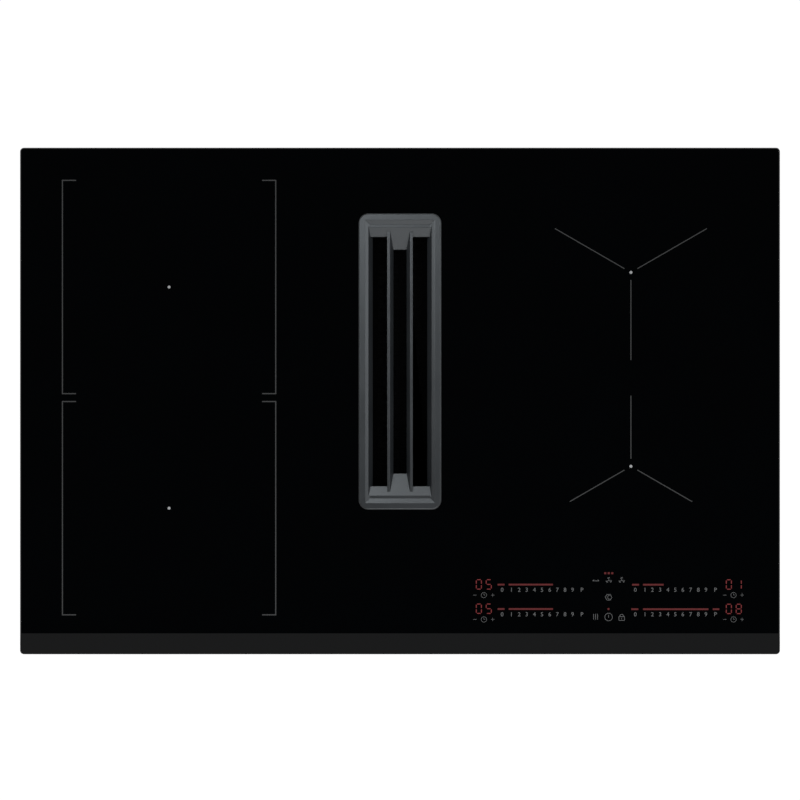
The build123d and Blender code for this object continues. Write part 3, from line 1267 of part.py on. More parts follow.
def component_places(count, gap):
    """Places for tall components on both boards, a gap outboard of each heat sink."""
    places = []
    for side, board, blower in ((-1, LEFT_BOARD, LEFT_BLOWER), (1, RIGHT_BOARD, RIGHT_BLOWER)):
        x = blower.cx + side * (HEAT_SINK_WIDTH / 2 + gap)
        places += [(x, y) for y in spread(count, COMPONENT_PITCH, board.cy)]
    return places


def board_capacitors():
    places = component_places(CAPACITOR_COUNT, CAPACITOR_GAP)
    return group([rod(x, y, BOARD_TOP, BOARD_TOP + CAPACITOR_HEIGHT, CAPACITOR_RADIUS) for x, y in places])


def board_chokes():
    """Ring cores of the mains filter and the converters."""
    places = component_places(CHOKE_COUNT, CHOKE_GAP)
    return group([tube(x, y, BOARD_TOP, BOARD_TOP + CHOKE_HEIGHT, CHOKE_RADIUS, CHOKE_BORE) for x, y in places])


def blower_frame(blower):
    """Radial cooling blower: a square shell with a round chamber, open at the rear."""
    x, y = blower.cx, blower.cy
    low, high = CASE_FLOOR + BLOWER_WALL, BLOWER_TOP - BLOWER_WALL
    outlet = Area(x, x + BLOWER_CAVITY_RADIUS, y, blower.y1 + PAST)
    shell = blower.slab(CASE_FLOOR, BLOWER_TOP)
    shell -= [
        rod(x, y, low, high, BLOWER_CAVITY_RADIUS),
        outlet.slab(low, high),
        rod(x, y, high - PAST, BLOWER_TOP + PAST, BLOWER_INLET_RADIUS),
    ]
    boss = rod(x, y, low - PAST, low + BLOWER_RUNNING_GAP / 2, 2 * PIN_RADIUS)
    return joined([shell, boss, rod(x, y, low - PAST, low + PIN_LENGTH, PIN_RADIUS)])


def blower_rotor(blower):
    low = CASE_FLOOR + BLOWER_WALL + BLOWER_RUNNING_GAP
    high = BLOWER_TOP - BLOWER_WALL - BLOWER_RUNNING_GAP
    outer = BLOWER_ROTOR_RADIUS
    inner = outer - BLOWER_BLADE_DEPTH
    disc = rod(0, 0, low, low + BLOWER_DISC, outer)
    hub = rod(0, 0, low, high - BLOWER_WALL, BLOWER_HUB_RADIUS)
    half = BLOWER_BLADE_THICKNESS / 2
    blade = box(inner, outer - half, -half, half, low, high)
    blades = [Rot(0, 0, i * 360 / BLOWER_BLADES) * blade for i in range(BLOWER_BLADES)]
    bore = rod(0, 0, low - PAST, low + PIN_LENGTH, PIN_RADIUS + SHAFT_CLEARANCE)
    return Pos(blower.cx, blower.cy, 0) * (joined([disc, hub] + blades) - bore)


# -------------------------------------------------------------- control panel
def ui_carrier():
    """Plastic tray on feet that presses the control board towards the glass."""
    shell = PANEL.slab(PANEL_SHELL_UNDER, PANEL_BOARD_UNDER)
    shell -= PANEL.grown(-2 * PANEL_SHELL).slab(PANEL_SHELL_UNDER + PANEL_SHELL, PANEL_BOARD_UNDER + PAST)
    places = PANEL.grown(-PANEL_FOOT_RADIUS - PANEL_SHELL).corners()
    return joined([shell] + [rod(x, y, CASE_FLOOR, PANEL_SHELL_UNDER, PANEL_FOOT_RADIUS) for x, y in places])


def ui_board():
    return PANEL.slab(PANEL_BOARD_UNDER, PANEL_BOARD_TOP)


def display_modules():
    """Two-digit displays at the ends of the sliders, and the sliders' light guides."""
    modules = []
    for y in DISPLAY_ROWS:
        digits = [centred(DISPLAY_WIDTH, DISPLAY_DEPTH, x, y) for x in DISPLAY_COLUMNS]
        guides = [centred(SLIDER_LENGTH, SLIDER_GUIDE_DEPTH, x + SLIDER_LENGTH / 2, y) for x in SLIDER_STARTS]
        modules += [area.slab(PANEL_BOARD_TOP, GLASS_UNDER) for area in digits]
        modules += [area.slab(PANEL_BOARD_TOP, GLASS_UNDER - SLIDER_GUIDE_GAP) for area in guides]
    return group(modules)


def touch_springs():
    """Contact springs that carry each touch field up to the underside of the glass."""
    places = []
    for y in DISPLAY_ROWS:
        places += [(x + i * TOUCH_PITCH, y - TOUCH_SETBACK) for x in SLIDER_STARTS for i in range(TOUCH_COUNT)]
        places += [(x, y) for x in spread(3, MENU_TOUCH_PITCH, MENU_X)]
    inner = TOUCH_RADIUS - TOUCH_WALL
    return group([tube(x, y, PANEL_BOARD_TOP, GLASS_UNDER, TOUCH_RADIUS, inner) for x, y in places])


# ----------------------------------------------------------- mains connection
def terminal_block():
    y1 = CASE_INSIDE.y1 - TERMINAL_REAR_MARGIN
    block = centred(TERMINAL_WIDTH, TERMINAL_DEPTH, GLAND_X, y1 - TERMINAL_DEPTH / 2)
    top = CASE_FLOOR + TERMINAL_HEIGHT
    body = block.slab(CASE_FLOOR, top)
    for x in spread(TERMINAL_POLES, TERMINAL_WIDTH / TERMINAL_POLES, block.cx):
        body -= rod(x, block.cy, top - TERMINAL_SCREW_DEPTH, top + PAST, TERMINAL_SCREW_RADIUS)
        body -= rod_along_y(x, block.cy, block.y1 + PAST, (CASE_FLOOR + top) / 2, TERMINAL_SCREW_RADIUS)
    return body


def cable_gland():
    """Gland in the rear wall that the mains cable comes in through."""
    inner_end = CASE_INSIDE.y1 - GLAND_INSIDE
    outer_end = CASE.y1 + GLAND_OUTSIDE
    thread = rod_along_y(GLAND_X, inner_end, CASE.y1, GLAND_Z, GLAND_THREAD)
    collar = rod_along_y(GLAND_X, CASE.y1, outer_end, GLAND_Z, GLAND_COLLAR)
    nut = rod_along_y(GLAND_X, CASE_INSIDE.y1 - GLAND_NUT, CASE_INSIDE.y1, GLAND_Z, GLAND_COLLAR)
    return joined([thread, collar, nut]) - rod_along_y(
        GLAND_X, inner_end - PAST, outer_end + PAST, GLAND_Z, GLAND_BORE
    )


# ----------------------------------------------------------------- the object
NODES = {
    "glass_top": glass_top,
    "zone_marks": zone_marks,
    "worktop_seal": worktop_seal,
    "glass_frame": glass_frame,
    "base_tray": base_tray,
    "case_screws": case_screws,
    "retaining_clips": retaining_clips,
    "clip_rivets": clip_rivets,
    "intake_box": intake_box,
    "tray_runner": tray_runner,
    "intake_seal": intake_seal,
    "window_seal": window_seal,
    "plenum_base": plenum_base,
    "inlet_nozzle": inlet_nozzle,
    "plenum_lid": plenum_lid,
    "fan_scroll": fan_scroll,
    "scroll_screws": scroll_screws,
    "duct_spigot": duct_spigot,
    "motor_plate": motor_plate,
    "motor_grommets": motor_grommets,
    "motor_housing": motor_housing,
    "motor_stator": motor_stator,
    "motor_bearings": motor_bearings,
    "fan_impeller": fan_impeller,
    "impeller_shroud": impeller_shroud,
    "fan_shaft": fan_shaft,
    "motor_rotor": motor_rotor,
    "impeller_nut": impeller_nut,
    "winding_left_rear": lambda: square_winding(LEFT_REAR_ZONE),
    "winding_left_front": lambda: square_winding(LEFT_FRONT_ZONE),
    "winding_right_rear": lambda: round_winding(RIGHT_REAR_ZONE),
    "winding_right_front": lambda: round_winding(RIGHT_FRONT_ZONE),
    "coil_formers": coil_formers,
    "ferrite_bars": ferrite_bars,
    "mica_sheets": mica_sheets,
    "zone_sensors": zone_sensors,
    "carrier_plates": carrier_plates,
    "carrier_posts": carrier_posts,
    "power_boards": power_boards,
    "board_spacers": board_spacers,
    "heat_sinks": heat_sinks,
    "board_capacitors": board_capacitors,
    "board_chokes": board_chokes,
    "blower_frame_left": lambda: blower_frame(LEFT_BLOWER),
    "blower_frame_right": lambda: blower_frame(RIGHT_BLOWER),
    "blower_rotor_left": lambda: blower_rotor(LEFT_BLOWER),
    "blower_rotor_right": lambda: blower_rotor(RIGHT_BLOWER),
    "ui_carrier": ui_carrier,
    "ui_board": ui_board,
    "display_modules": display_modules,
    "touch_springs": touch_springs,
    "terminal_block": terminal_block,
    "cable_gland": cable_gland,
    "filter_cassette": filter_cassette,
    "carbon_filter": carbon_filter,
    "grease_filter": grease_filter,
    "grille": grille,
    "grille_pads": grille_pads,
    "drip_tray": drip_tray,
}

os.makedirs("parts", exist_ok=True)
for name, make in NODES.items():
    export_step(make(), f"parts/{name}.step")
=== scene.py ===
import bpy
import json
import math
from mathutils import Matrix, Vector

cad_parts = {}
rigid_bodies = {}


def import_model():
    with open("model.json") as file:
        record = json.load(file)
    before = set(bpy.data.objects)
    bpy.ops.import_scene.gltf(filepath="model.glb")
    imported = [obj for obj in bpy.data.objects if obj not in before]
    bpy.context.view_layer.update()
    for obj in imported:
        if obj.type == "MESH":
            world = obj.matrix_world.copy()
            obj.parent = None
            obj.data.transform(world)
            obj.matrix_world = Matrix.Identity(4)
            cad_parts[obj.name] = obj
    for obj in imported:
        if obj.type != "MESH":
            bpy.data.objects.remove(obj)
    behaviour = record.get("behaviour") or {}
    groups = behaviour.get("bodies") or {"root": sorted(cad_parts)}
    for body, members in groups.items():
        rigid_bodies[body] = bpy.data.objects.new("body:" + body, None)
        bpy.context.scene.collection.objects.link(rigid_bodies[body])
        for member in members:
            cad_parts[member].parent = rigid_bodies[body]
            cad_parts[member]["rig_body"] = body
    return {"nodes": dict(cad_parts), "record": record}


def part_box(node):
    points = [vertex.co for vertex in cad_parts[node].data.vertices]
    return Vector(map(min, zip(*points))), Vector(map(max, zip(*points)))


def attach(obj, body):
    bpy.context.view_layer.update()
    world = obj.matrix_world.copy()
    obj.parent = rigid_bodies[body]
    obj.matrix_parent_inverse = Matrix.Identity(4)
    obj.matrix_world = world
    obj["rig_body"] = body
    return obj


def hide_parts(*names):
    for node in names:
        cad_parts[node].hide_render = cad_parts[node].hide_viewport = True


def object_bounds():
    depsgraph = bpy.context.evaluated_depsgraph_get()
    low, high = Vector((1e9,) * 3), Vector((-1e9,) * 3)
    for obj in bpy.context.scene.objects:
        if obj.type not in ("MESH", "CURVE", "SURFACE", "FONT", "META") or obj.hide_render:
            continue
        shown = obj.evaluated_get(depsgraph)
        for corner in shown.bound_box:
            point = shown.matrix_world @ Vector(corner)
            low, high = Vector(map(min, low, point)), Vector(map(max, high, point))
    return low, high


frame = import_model()
CAD_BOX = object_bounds()
NODES = frame["nodes"]
SLOT_OF = {part["node"]: part["material_slot"] for part in frame["record"]["subparts"]}
MM = 0.001

# One pixel of the reference view in metres, on the glass.
PIXEL = 0.0010263
VIEW_SIZE = 800
VIEW_MIDDLE = (400.0, 401.0)

GLASS_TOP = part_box("glass_top")[1].z
PRINT = 0.12 * MM
BASE = CAD_BOX[0].z


def box_mm(node):
    """The low and high corner of a node, in millimetres."""
    return [[round(value / MM, 3) for value in corner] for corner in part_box(node)]


# ------------------------------------------------------------------ materials
class Signal:
    """A socket in a node tree that can be used in sums and comparisons."""

    def __init__(self, tree, socket):
        self.tree, self.socket = tree, socket

    def math(self, operation, *others):
        """This signal and others through one Math node."""
        return self.tree.node("ShaderNodeMath", dict(enumerate((self, *others))), operation=operation)

    def __add__(self, other):
        return self.math("ADD", other)

    def __mul__(self, other):
        return self.math("MULTIPLY", other)

    def __sub__(self, other):
        return self.math("SUBTRACT", other)

    def __rsub__(self, other):
        return self.tree.node("ShaderNodeMath", {0: other, 1: self}, operation="SUBTRACT")

    def __gt__(self, other):
        return self.math("GREATER_THAN", other)

    def __lt__(self, other):
        return self.math("LESS_THAN", other)

    __radd__ = __add__
    __rmul__ = __mul__

    def ramp(self, low, high, start=0.0, end=1.0):
        """This value between two levels, carried to a new range and held there."""
        return self.tree.node("ShaderNodeMapRange", {0: self, 1: low, 2: high, 3: start, 4: end})


class Tree:
    """Adds nodes to a node tree."""

    def __init__(self, node_tree):
        self.nodes, self.links = node_tree.nodes, node_tree.links

    def node(self, kind, values=None, output=0, **settings):
        """Add one node from its type, its settings and the values or links of its sockets."""
        made = self.nodes.new(kind)
        for setting, value in settings.items():
            setattr(made, setting, value)
        for socket, value in (values or {}).items():
            self.put(made.inputs[socket], value)
        return Signal(self, made.outputs[output])

    def put(self, socket, value):
        """Link a signal to a socket, or set the socket's own value."""
        if isinstance(value, Signal):
            self.links.new(value.socket, socket)
        else:
            socket.default_value = value


class Finish(Tree):
    """A material with one principled shader. Constants are set on the shader's sockets."""

    def __init__(self, name, **constants):
        self.material = bpy.data.materials.new(name)
        self.material.use_nodes = True
        super().__init__(self.material.node_tree)
        self.shader = self.nodes["Principled BSDF"]
        self.feed(**constants)

    def feed(self, **values):
        """Set or link sockets of the shader, each named with _ for its spaces."""
        for socket, value in values.items():
            self.put(self.shader.inputs[socket.replace("_", " ")], value)

    def place(self, scale=(1, 1, 1)):
        """The place on the piece, stretched."""
        spot = self.node("ShaderNodeTexCoord", output="Object")
        return self.node("ShaderNodeMapping", {"Vector": spot, "Scale": scale})

    def noise(self, scale, detail=3.0, stretch=(1, 1, 1)):
        """A cloudy pattern."""
        values = {"Vector": self.place(stretch), "Scale": scale, "Detail": detail}
        return self.node("ShaderNodeTexNoise", values, output="Fac")

    def cells(self, scale, output="Distance", stretch=(1, 1, 1)):
        """A pattern of cells: the distance from each middle, or a colour for each."""
        values = {"Vector": self.place(stretch), "Scale": scale}
        return self.node("ShaderNodeTexVoronoi", values, output=output)

    def bands(self, scale, axis, distortion=0.0):
        """Parallel bands that follow each other along an axis."""
        values = {"Vector": self.place(), "Scale": scale, "Distortion": distortion}
        return self.node("ShaderNodeTexWave", values, output="Fac", bands_direction=axis)

    def mix(self, factor, a, b):
        """A blend of two colours, each a plain colour or a link."""
        first, second = ((*c, 1) if isinstance(c, tuple) else c for c in (a, b))
        return self.node("ShaderNodeMix", {0: factor, 6: first, 7: second}, output=2, data_type="RGBA")

    def relief(self, height, distance, strength):
        """Fine relief that a bump makes."""
        values = {"Height": height, "Distance": distance, "Strength": strength}
        self.feed(Normal=self.node("ShaderNodeBump", values))


def moulded(name, colour, rough, grain=2600.0, depth=0.00003, tint=1.25):
    """Moulded plastic: a fine spark-eroded grain and slightly uneven gloss."""
    finish = Finish(name)
    fine = finish.noise(grain, 2.0)
    broad = finish.noise(9.0, 4.0)
    paler = tuple(min(c * tint, 1.0) for c in colour)
    finish.feed(
        Base_Color=finish.mix(broad.ramp(0.35, 0.7), colour, paler),
        Roughness=broad.ramp(0.3, 0.7, rough - 0.06, rough + 0.08) + fine * 0.04,
    )
    finish.relief(fine, depth, 0.6)
    return finish.material


def sheet_metal(name, colour, rough, stretch, lines=420.0):
    """Rolled metal: long fine scratches along the rolling direction and soft stains."""
    finish = Finish(name, Metallic=1.0)
    scratches = finish.noise(lines, 5.0, stretch)
    stain = finish.noise(14.0, 3.0)
    darker = tuple(c * 0.82 for c in colour)
    finish.feed(
        Base_Color=finish.mix(stain.ramp(0.3, 0.75), darker, colour),
        Roughness=scratches.ramp(0.3, 0.7, rough - 0.08, rough + 0.1) + stain * 0.06,
    )
    finish.relief(scratches, 0.00002, 0.35)
    return finish.material


def black_glass():
    """Polished black glass ceramic, with hardly any haze from wiping."""
    finish = Finish("black_glass", IOR=1.5)
    haze = finish.noise(7.0, 5.0, (1.0, 2.2, 1.0))
    finish.feed(
        Base_Color=finish.mix(haze.ramp(0.4, 0.8), (0.0001, 0.0005, 0.0010), (0.0002, 0.0008, 0.0015)),
        Roughness=haze.ramp(0.35, 0.75, 0.02, 0.05),
    )
    return finish.material


def screen_print(name, level):
    """Fired enamel print in a shade of grey, with the fine pattern of the screen in it."""
    finish = Finish(name, Roughness=0.9)
    screen = finish.noise(5200.0, 2.0)
    thin = tuple(c * level for c in (0.82, 0.85, 0.87))
    full = tuple(c * level for c in (1.12, 1.15, 1.17))
    finish.feed(Base_Color=finish.mix(screen.ramp(0.35, 0.7), thin, full))
    finish.relief(screen, 0.00001, 0.4)
    return finish.material


def galvanised():
    """Hot-dip galvanised sheet with its spangle."""
    finish = Finish("galvanised_sheet", Metallic=1.0)
    spangle = finish.cells(95.0, "Color", stretch=(1.0, 1.3, 1.0))
    tone = finish.node("ShaderNodeSeparateColor", {0: spangle})
    cloud = finish.noise(11.0, 4.0)
    finish.feed(
        Base_Color=finish.mix(tone * 0.55 + cloud * 0.45, (0.40, 0.41, 0.42), (0.60, 0.61, 0.62)),
        Roughness=tone.ramp(0.0, 1.0, 0.32, 0.52),
    )
    finish.relief(tone * 0.4 + finish.noise(600.0, 2.0) * 0.3, 0.00004, 0.3)
    return finish.material


def foam():
    """Closed-cell sealing foam and rubber."""
    finish = Finish("seal_rubber", Roughness=0.85)
    pores = finish.cells(1500.0)
    finish.feed(Base_Color=finish.mix(pores.ramp(0.1, 0.8), (0.012, 0.012, 0.012), (0.03, 0.03, 0.03)))
    finish.relief(pores, 0.00008, 0.7)
    return finish.material


def cast_grille():
    """Satin black coating on cast metal: a fine orange peel and gloss that varies in broad patches."""
    finish = Finish("black_cast_grille", IOR=1.5)
    peel = finish.noise(900.0, 3.0)
    cloud = finish.noise(22.0, 4.0)
    finish.feed(
        Base_Color=finish.mix(cloud.ramp(0.35, 0.7), (0.008, 0.009, 0.010), (0.011, 0.012, 0.013)),
        Roughness=cloud.ramp(0.3, 0.7, 0.42, 0.47) + peel * 0.03,
    )
    finish.relief(peel, 0.00002, 0.12)
    return finish.material


def litz_copper():
    """Enamelled copper litz: turns of twisted strands under varnish."""
    finish = Finish("coil_copper", Metallic=0.85)
    strands = finish.noise(900.0, 4.0, (1.0, 1.0, 3.0))
    varnish = finish.noise(18.0, 3.0)
    finish.feed(
        Base_Color=finish.mix(strands.ramp(0.3, 0.7), (0.42, 0.15, 0.06), (0.70, 0.30, 0.14)),
        Roughness=varnish.ramp(0.3, 0.7, 0.28, 0.45),
    )
    finish.relief(strands, 0.0002, 0.7)
    return finish.material


def laminated():
    """Varnished stack of thin iron sheets."""
    finish = Finish("laminated_iron", Metallic=0.8)
    sheets = finish.bands(620.0, "Z")
    rust = finish.noise(60.0, 4.0)
    finish.feed(
        Base_Color=finish.mix(sheets * 0.7 + rust * 0.3, (0.12, 0.12, 0.125), (0.28, 0.28, 0.29)),
        Roughness=sheets.ramp(0.0, 1.0, 0.35, 0.6),
    )
    finish.relief(sheets, 0.0001, 0.6)
    return finish.material


def sintered():
    """Ferrite: matt, with small pits."""
    finish = Finish("ferrite", Roughness=0.62)
    pits = finish.cells(700.0)
    finish.feed(Base_Color=finish.mix(pits.ramp(0.05, 0.6), (0.035, 0.035, 0.04), (0.075, 0.075, 0.08)))
    finish.relief(pits, 0.00008, 0.5)
    return finish.material


def pressed_mica():
    """Pressed mica: pale overlapping flakes."""
    finish = Finish("mica", Roughness=0.35)
    flakes = finish.node("ShaderNodeSeparateColor", {0: finish.cells(260.0, "Color")})
    finish.feed(Base_Color=finish.mix(flakes, (0.50, 0.45, 0.35), (0.70, 0.64, 0.52)))
    finish.relief(flakes, 0.00003, 0.4)
    return finish.material


def circuit_board():
    """Green solder mask over copper tracks, with rows of solder joints."""
    finish = Finish("circuit_board", Coat_Weight=0.3, Coat_Roughness=0.12)
    values = {"Vector": finish.place(), "Scale": 90.0, "Mortar Size": 0.012, "Bias": 0.0}
    tracks = finish.node("ShaderNodeTexBrick", values, output="Fac", offset=0.37)
    joints = 1 - (finish.cells(240.0) > 0.28)
    ground = finish.mix(tracks, (0.014, 0.13, 0.055), (0.03, 0.23, 0.10))
    finish.feed(
        Base_Color=finish.mix(joints * (finish.noise(30.0) > 0.55), ground, (0.55, 0.55, 0.53)),
        Roughness=joints.ramp(0.0, 1.0, 0.4, 0.25),
    )
    finish.relief(tracks + joints, 0.00006, 0.5)
    return finish.material


def sleeve():
    """Shrink sleeve on a capacitor, with a pale stripe down one side."""
    finish = Finish("capacitor_sleeve", Coat_Weight=0.2)
    wrap = finish.noise(140.0, 2.0)
    stripe = finish.bands(9.0, "Y") > 0.93
    body = finish.mix(wrap.ramp(0.3, 0.7), (0.02, 0.028, 0.07), (0.035, 0.05, 0.11))
    finish.feed(
        Base_Color=finish.mix(stripe, body, (0.45, 0.46, 0.48)),
        Roughness=wrap.ramp(0.3, 0.7, 0.25, 0.4),
    )
    finish.relief(wrap, 0.00005, 0.4)
    return finish.material


def choke():
    """Lacquered ring core under copper wire."""
    finish = Finish("choke_lacquer")
    wire = finish.bands(190.0, "DIAGONAL", 1.0)
    finish.feed(
        Base_Color=finish.mix(wire.ramp(0.45, 0.55), (0.05, 0.15, 0.07), (0.50, 0.20, 0.08)),
        Roughness=wire.ramp(0.0, 1.0, 0.5, 0.3),
        Metallic=wire.ramp(0.45, 0.55, 0.0, 0.8),
    )
    finish.relief(wire, 0.0004, 0.7)
    return finish.material


def granules():
    """Activated carbon: dull granules pressed together."""
    finish = Finish("activated_carbon", Roughness=0.9)
    grains = finish.cells(520.0)
    tone = finish.noise(240.0, 4.0)
    finish.feed(Base_Color=finish.mix(grains * tone, (0.006, 0.006, 0.006), (0.03, 0.03, 0.03)))
    finish.relief(1 - grains, 0.0009, 0.9)
    return finish.material


def shade_black_filter_mesh():
    """Stamped filter steel, coloured near-black as painted shade for the deep slots above it, with
    scattered paler worn patches.
    """
    finish = Finish("filter_mesh", IOR=1.2)
    pattern = finish.cells(420.0, stretch=(1.0, 0.6, 1.0))
    wear = finish.noise(160.0, 4.0).ramp(0.66, 0.8)
    finish.feed(
        # Near-black base colour: painted shade for the slots, lightened a little where worn.
        Base_Color=finish.mix(wear * 0.3, (0.005, 0.005, 0.006), (0.05, 0.05, 0.05)),
        Roughness=pattern.ramp(0.0, 0.7, 0.5, 0.7),
    )
    finish.relief(pattern, 0.0002, 0.5)
    return finish.material


def lens():
    """Smoked lens over the displays."""
    finish = Finish("display_lens", Coat_Weight=0.4, Coat_Roughness=0.08)
    cloud = finish.noise(40.0, 2.0)
    finish.feed(
        Base_Color=finish.mix(cloud, (0.035, 0.03, 0.032), (0.06, 0.05, 0.052)),
        Roughness=cloud.ramp(0.2, 0.8, 0.18, 0.3),
    )
    return finish.material


def lit_red(name, level):
    """Red light behind the glass, a little uneven along each mark."""
    finish = Finish(name, Roughness=0.4, Emission_Strength=1.0)
    uneven = finish.noise(700.0, 2.0)
    dim = tuple(c * level * 0.72 for c in (1.0, 0.14, 0.15))
    full = tuple(c * level for c in (1.0, 0.15, 0.16))
    finish.feed(
        Base_Color=finish.mix(uneven, (0.006, 0.002, 0.002), (0.009, 0.003, 0.003)),
        Emission_Color=finish.mix(uneven.ramp(0.3, 0.7), dim, full),
    )
    return finish.material


FINISHES = {
    "black_glass": black_glass(),
    "white_print": screen_print("white_print", 0.115),
    "seal_rubber": foam(),
    "galvanised_sheet": galvanised(),
    "plated_steel": sheet_metal("plated_steel", (0.60, 0.60, 0.61), 0.26, (1.0, 1.0, 6.0), 900.0),
    "spring_steel": sheet_metal("spring_steel", (0.52, 0.52, 0.54), 0.30, (6.0, 0.4, 6.0), 700.0),
    "black_housing": moulded("black_housing", (0.022, 0.022, 0.024), 0.48),
    "grey_fan_plastic": moulded("grey_fan_plastic", (0.11, 0.11, 0.12), 0.42, 1800.0),
    "motor_enamel": moulded("motor_enamel", (0.045, 0.045, 0.05), 0.32, 900.0, 0.00002),
    "laminated_iron": laminated(),
    "coil_copper": litz_copper(),
    "white_moulding": moulded("white_moulding", (0.70, 0.69, 0.66), 0.45, 2200.0, tint=1.08),
    "ferrite": sintered(),
    "mica": pressed_mica(),
    "plain_aluminium": sheet_metal("plain_aluminium", (0.70, 0.71, 0.72), 0.34, (0.2, 7.0, 7.0)),
    "circuit_board": circuit_board(),
    "capacitor_sleeve": sleeve(),
    "choke_lacquer": choke(),
    "display_lens": lens(),
    "grey_terminal": moulded("grey_terminal", (0.32, 0.33, 0.34), 0.45),
    "activated_carbon": granules(),
    # The filter's near-black finish is painted shade for the deep slots of the grille.
    "filter_mesh": shade_black_filter_mesh(),
    "black_cast_grille": cast_grille(),
}
LABEL_PRINT = screen_print("label_print", 0.27)
DOT_PRINT = screen_print("dot_print", 0.8)
DIGIT_RED = lit_red("digit_red", 0.22)
BAR_RED = lit_red("bar_red", 0.12)

for name, node in NODES.items():
    node.data.materials.clear()
    node.data.materials.append(FINISHES[SLOT_OF[name]])


# ------------------------------------------------------------ modelling helpers
MERGE = 0.002 * MM
FLAT_ANGLE = math.radians(0.6)
SMOOTH_ANGLE = math.radians(32.0)
EDGE_SEGMENTS = 2


def clear_selection():
    """Deselect everything, so that an operator acts only on what is added or picked next."""
    bpy.ops.object.select_all(action="DESELECT")


def pick(*objects):
    """Select only these objects, the first of them active."""
    if bpy.context.object and bpy.context.object.mode != "OBJECT":
        bpy.ops.object.mode_set(mode="OBJECT")
    clear_selection()
    for thing in objects:
        thing.select_set(True)
    bpy.context.view_layer.objects.active = objects[0]


def put_in_mesh():
    """Move the place, turn and size of the picked object into its mesh."""
    bpy.ops.object.transform_apply(location=True, rotation=True, scale=True)


def settle(piece, name, body, slot, material=None, stands_for=()):
    """Name a finished piece, put its place into its mesh, and give it its finish and body."""
    pick(piece)
    put_in_mesh()
    piece.name = piece.data.name = name
    piece.data.materials.clear()
    piece.data.materials.append(material or FINISHES[slot])
    if stands_for:
        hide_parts(*stands_for)
    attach(piece, body)
    return piece


def apply_modifier(piece, kind, **settings):
    """Add a modifier to a piece and apply it at once."""
    pick(piece)
    modifier = piece.modifiers.new(kind.title(), kind)
    for setting, value in settings.items():
        setattr(modifier, setting, value)
    bpy.ops.object.modifier_apply(modifier=modifier.name)


def mark_crease(piece, y):
    """Keep the shading sharp along a shallow edge of the top that runs across at one depth."""
    for vertex in piece.data.vertices:
        vertex.select = abs(vertex.co.y - y) < 0.3 * MM and vertex.co.z > 0.0
    bpy.ops.object.mode_set(mode="EDIT")
    bpy.ops.mesh.mark_sharp()
    bpy.ops.object.mode_set(mode="OBJECT")


def rounded(piece, width, limit=SMOOTH_ANGLE, crease=None):
    """Round a piece's edges that are sharper than the limit, and shade it smooth between them."""
    apply_modifier(
        piece, "BEVEL", width=width, segments=EDGE_SEGMENTS, limit_method="ANGLE", angle_limit=limit,
        harden_normals=False, use_clamp_overlap=True,
    )
    pick(piece)
    bpy.ops.object.shade_smooth_by_angle(angle=SMOOTH_ANGLE)
    if crease is not None:
        mark_crease(piece, crease)
    apply_modifier(piece, "WEIGHTED_NORMAL", keep_sharp=True, weight=100)


def merged_copy(node, name):
    """A copy of a node's shape as one connected mesh, left in edit mode with all of it selected."""
    piece = bpy.data.objects.new(name, NODES[node].data.copy())
    bpy.context.scene.collection.objects.link(piece)
    pick(piece)
    bpy.ops.mesh.customdata_custom_splitnormals_clear()
    bpy.ops.object.mode_set(mode="EDIT")
    bpy.ops.mesh.select_all(action="SELECT")
    bpy.ops.mesh.remove_doubles(threshold=MERGE)
    return piece


def own_shape(node, width, limit=SMOOTH_ANGLE, crease=None):
    """A copy of a node's shape with its edges rounded, which stands for the node."""
    piece = merged_copy(node, node + "_body")
    bpy.ops.mesh.dissolve_limited(angle_limit=FLAT_ANGLE)
    bpy.ops.object.mode_set(mode="OBJECT")
    rounded(piece, width, limit, crease)
    body = NODES[node]["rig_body"]
    return settle(piece, node + "_finished", body, SLOT_OF[node], stands_for=(node,))


def joined(pieces):
    """Several pieces made one object."""
    pick(*pieces)
    bpy.ops.object.join()
    return pieces[0]


def strokes(lines, z0, thickness, name):
    """One object made of straight flat bars: (x0, y0, x1, y1, width) each, in metres."""
    clear_selection()
    piece = None
    for x0, y0, x1, y1, width in lines:
        bpy.ops.mesh.primitive_cube_add(
            size=1.0, location=((x0 + x1) / 2, (y0 + y1) / 2, z0 + thickness / 2),
            rotation=(0, 0, math.atan2(y1 - y0, x1 - x0)),
            scale=(math.hypot(x1 - x0, y1 - y0), width, thickness),
        )
        if piece is None:
            piece = bpy.context.object
            put_in_mesh()
            bpy.ops.object.mode_set(mode="EDIT")
    bpy.ops.object.mode_set(mode="OBJECT")
    piece.name = name
    return piece


def from_view(px, py):
    """A place on the glass from its pixel in the reference view."""
    return (px - VIEW_MIDDLE[0]) * PIXEL, (VIEW_MIDDLE[1] - py) * PIXEL


def pixel_lines(lines, width):
    """Bars given by the pixels of their two ends, with one width in pixels."""
    return [(*from_view(x0, y0), *from_view(x1, y1), width * PIXEL) for x0, y0, x1, y1 in lines]


# --------------------------------------------------------- camera, stage, light
CAMERA_HEIGHT, CAMERA_REACH = 8.0, 60.0
SENSOR = 36.0
FLOOR_SIZE = 80.0
FLOOR_GAP = 0.3 * MM
# How much of the floor that a camera sees is its own glow, and how strong that is.
FLOOR_GLOW_SHARE, FLOOR_GLOW = 0.8, 1.22
WARM_WHITE, COOL_WHITE = (1.0, 0.99, 0.98), (0.87, 0.945, 1.0)
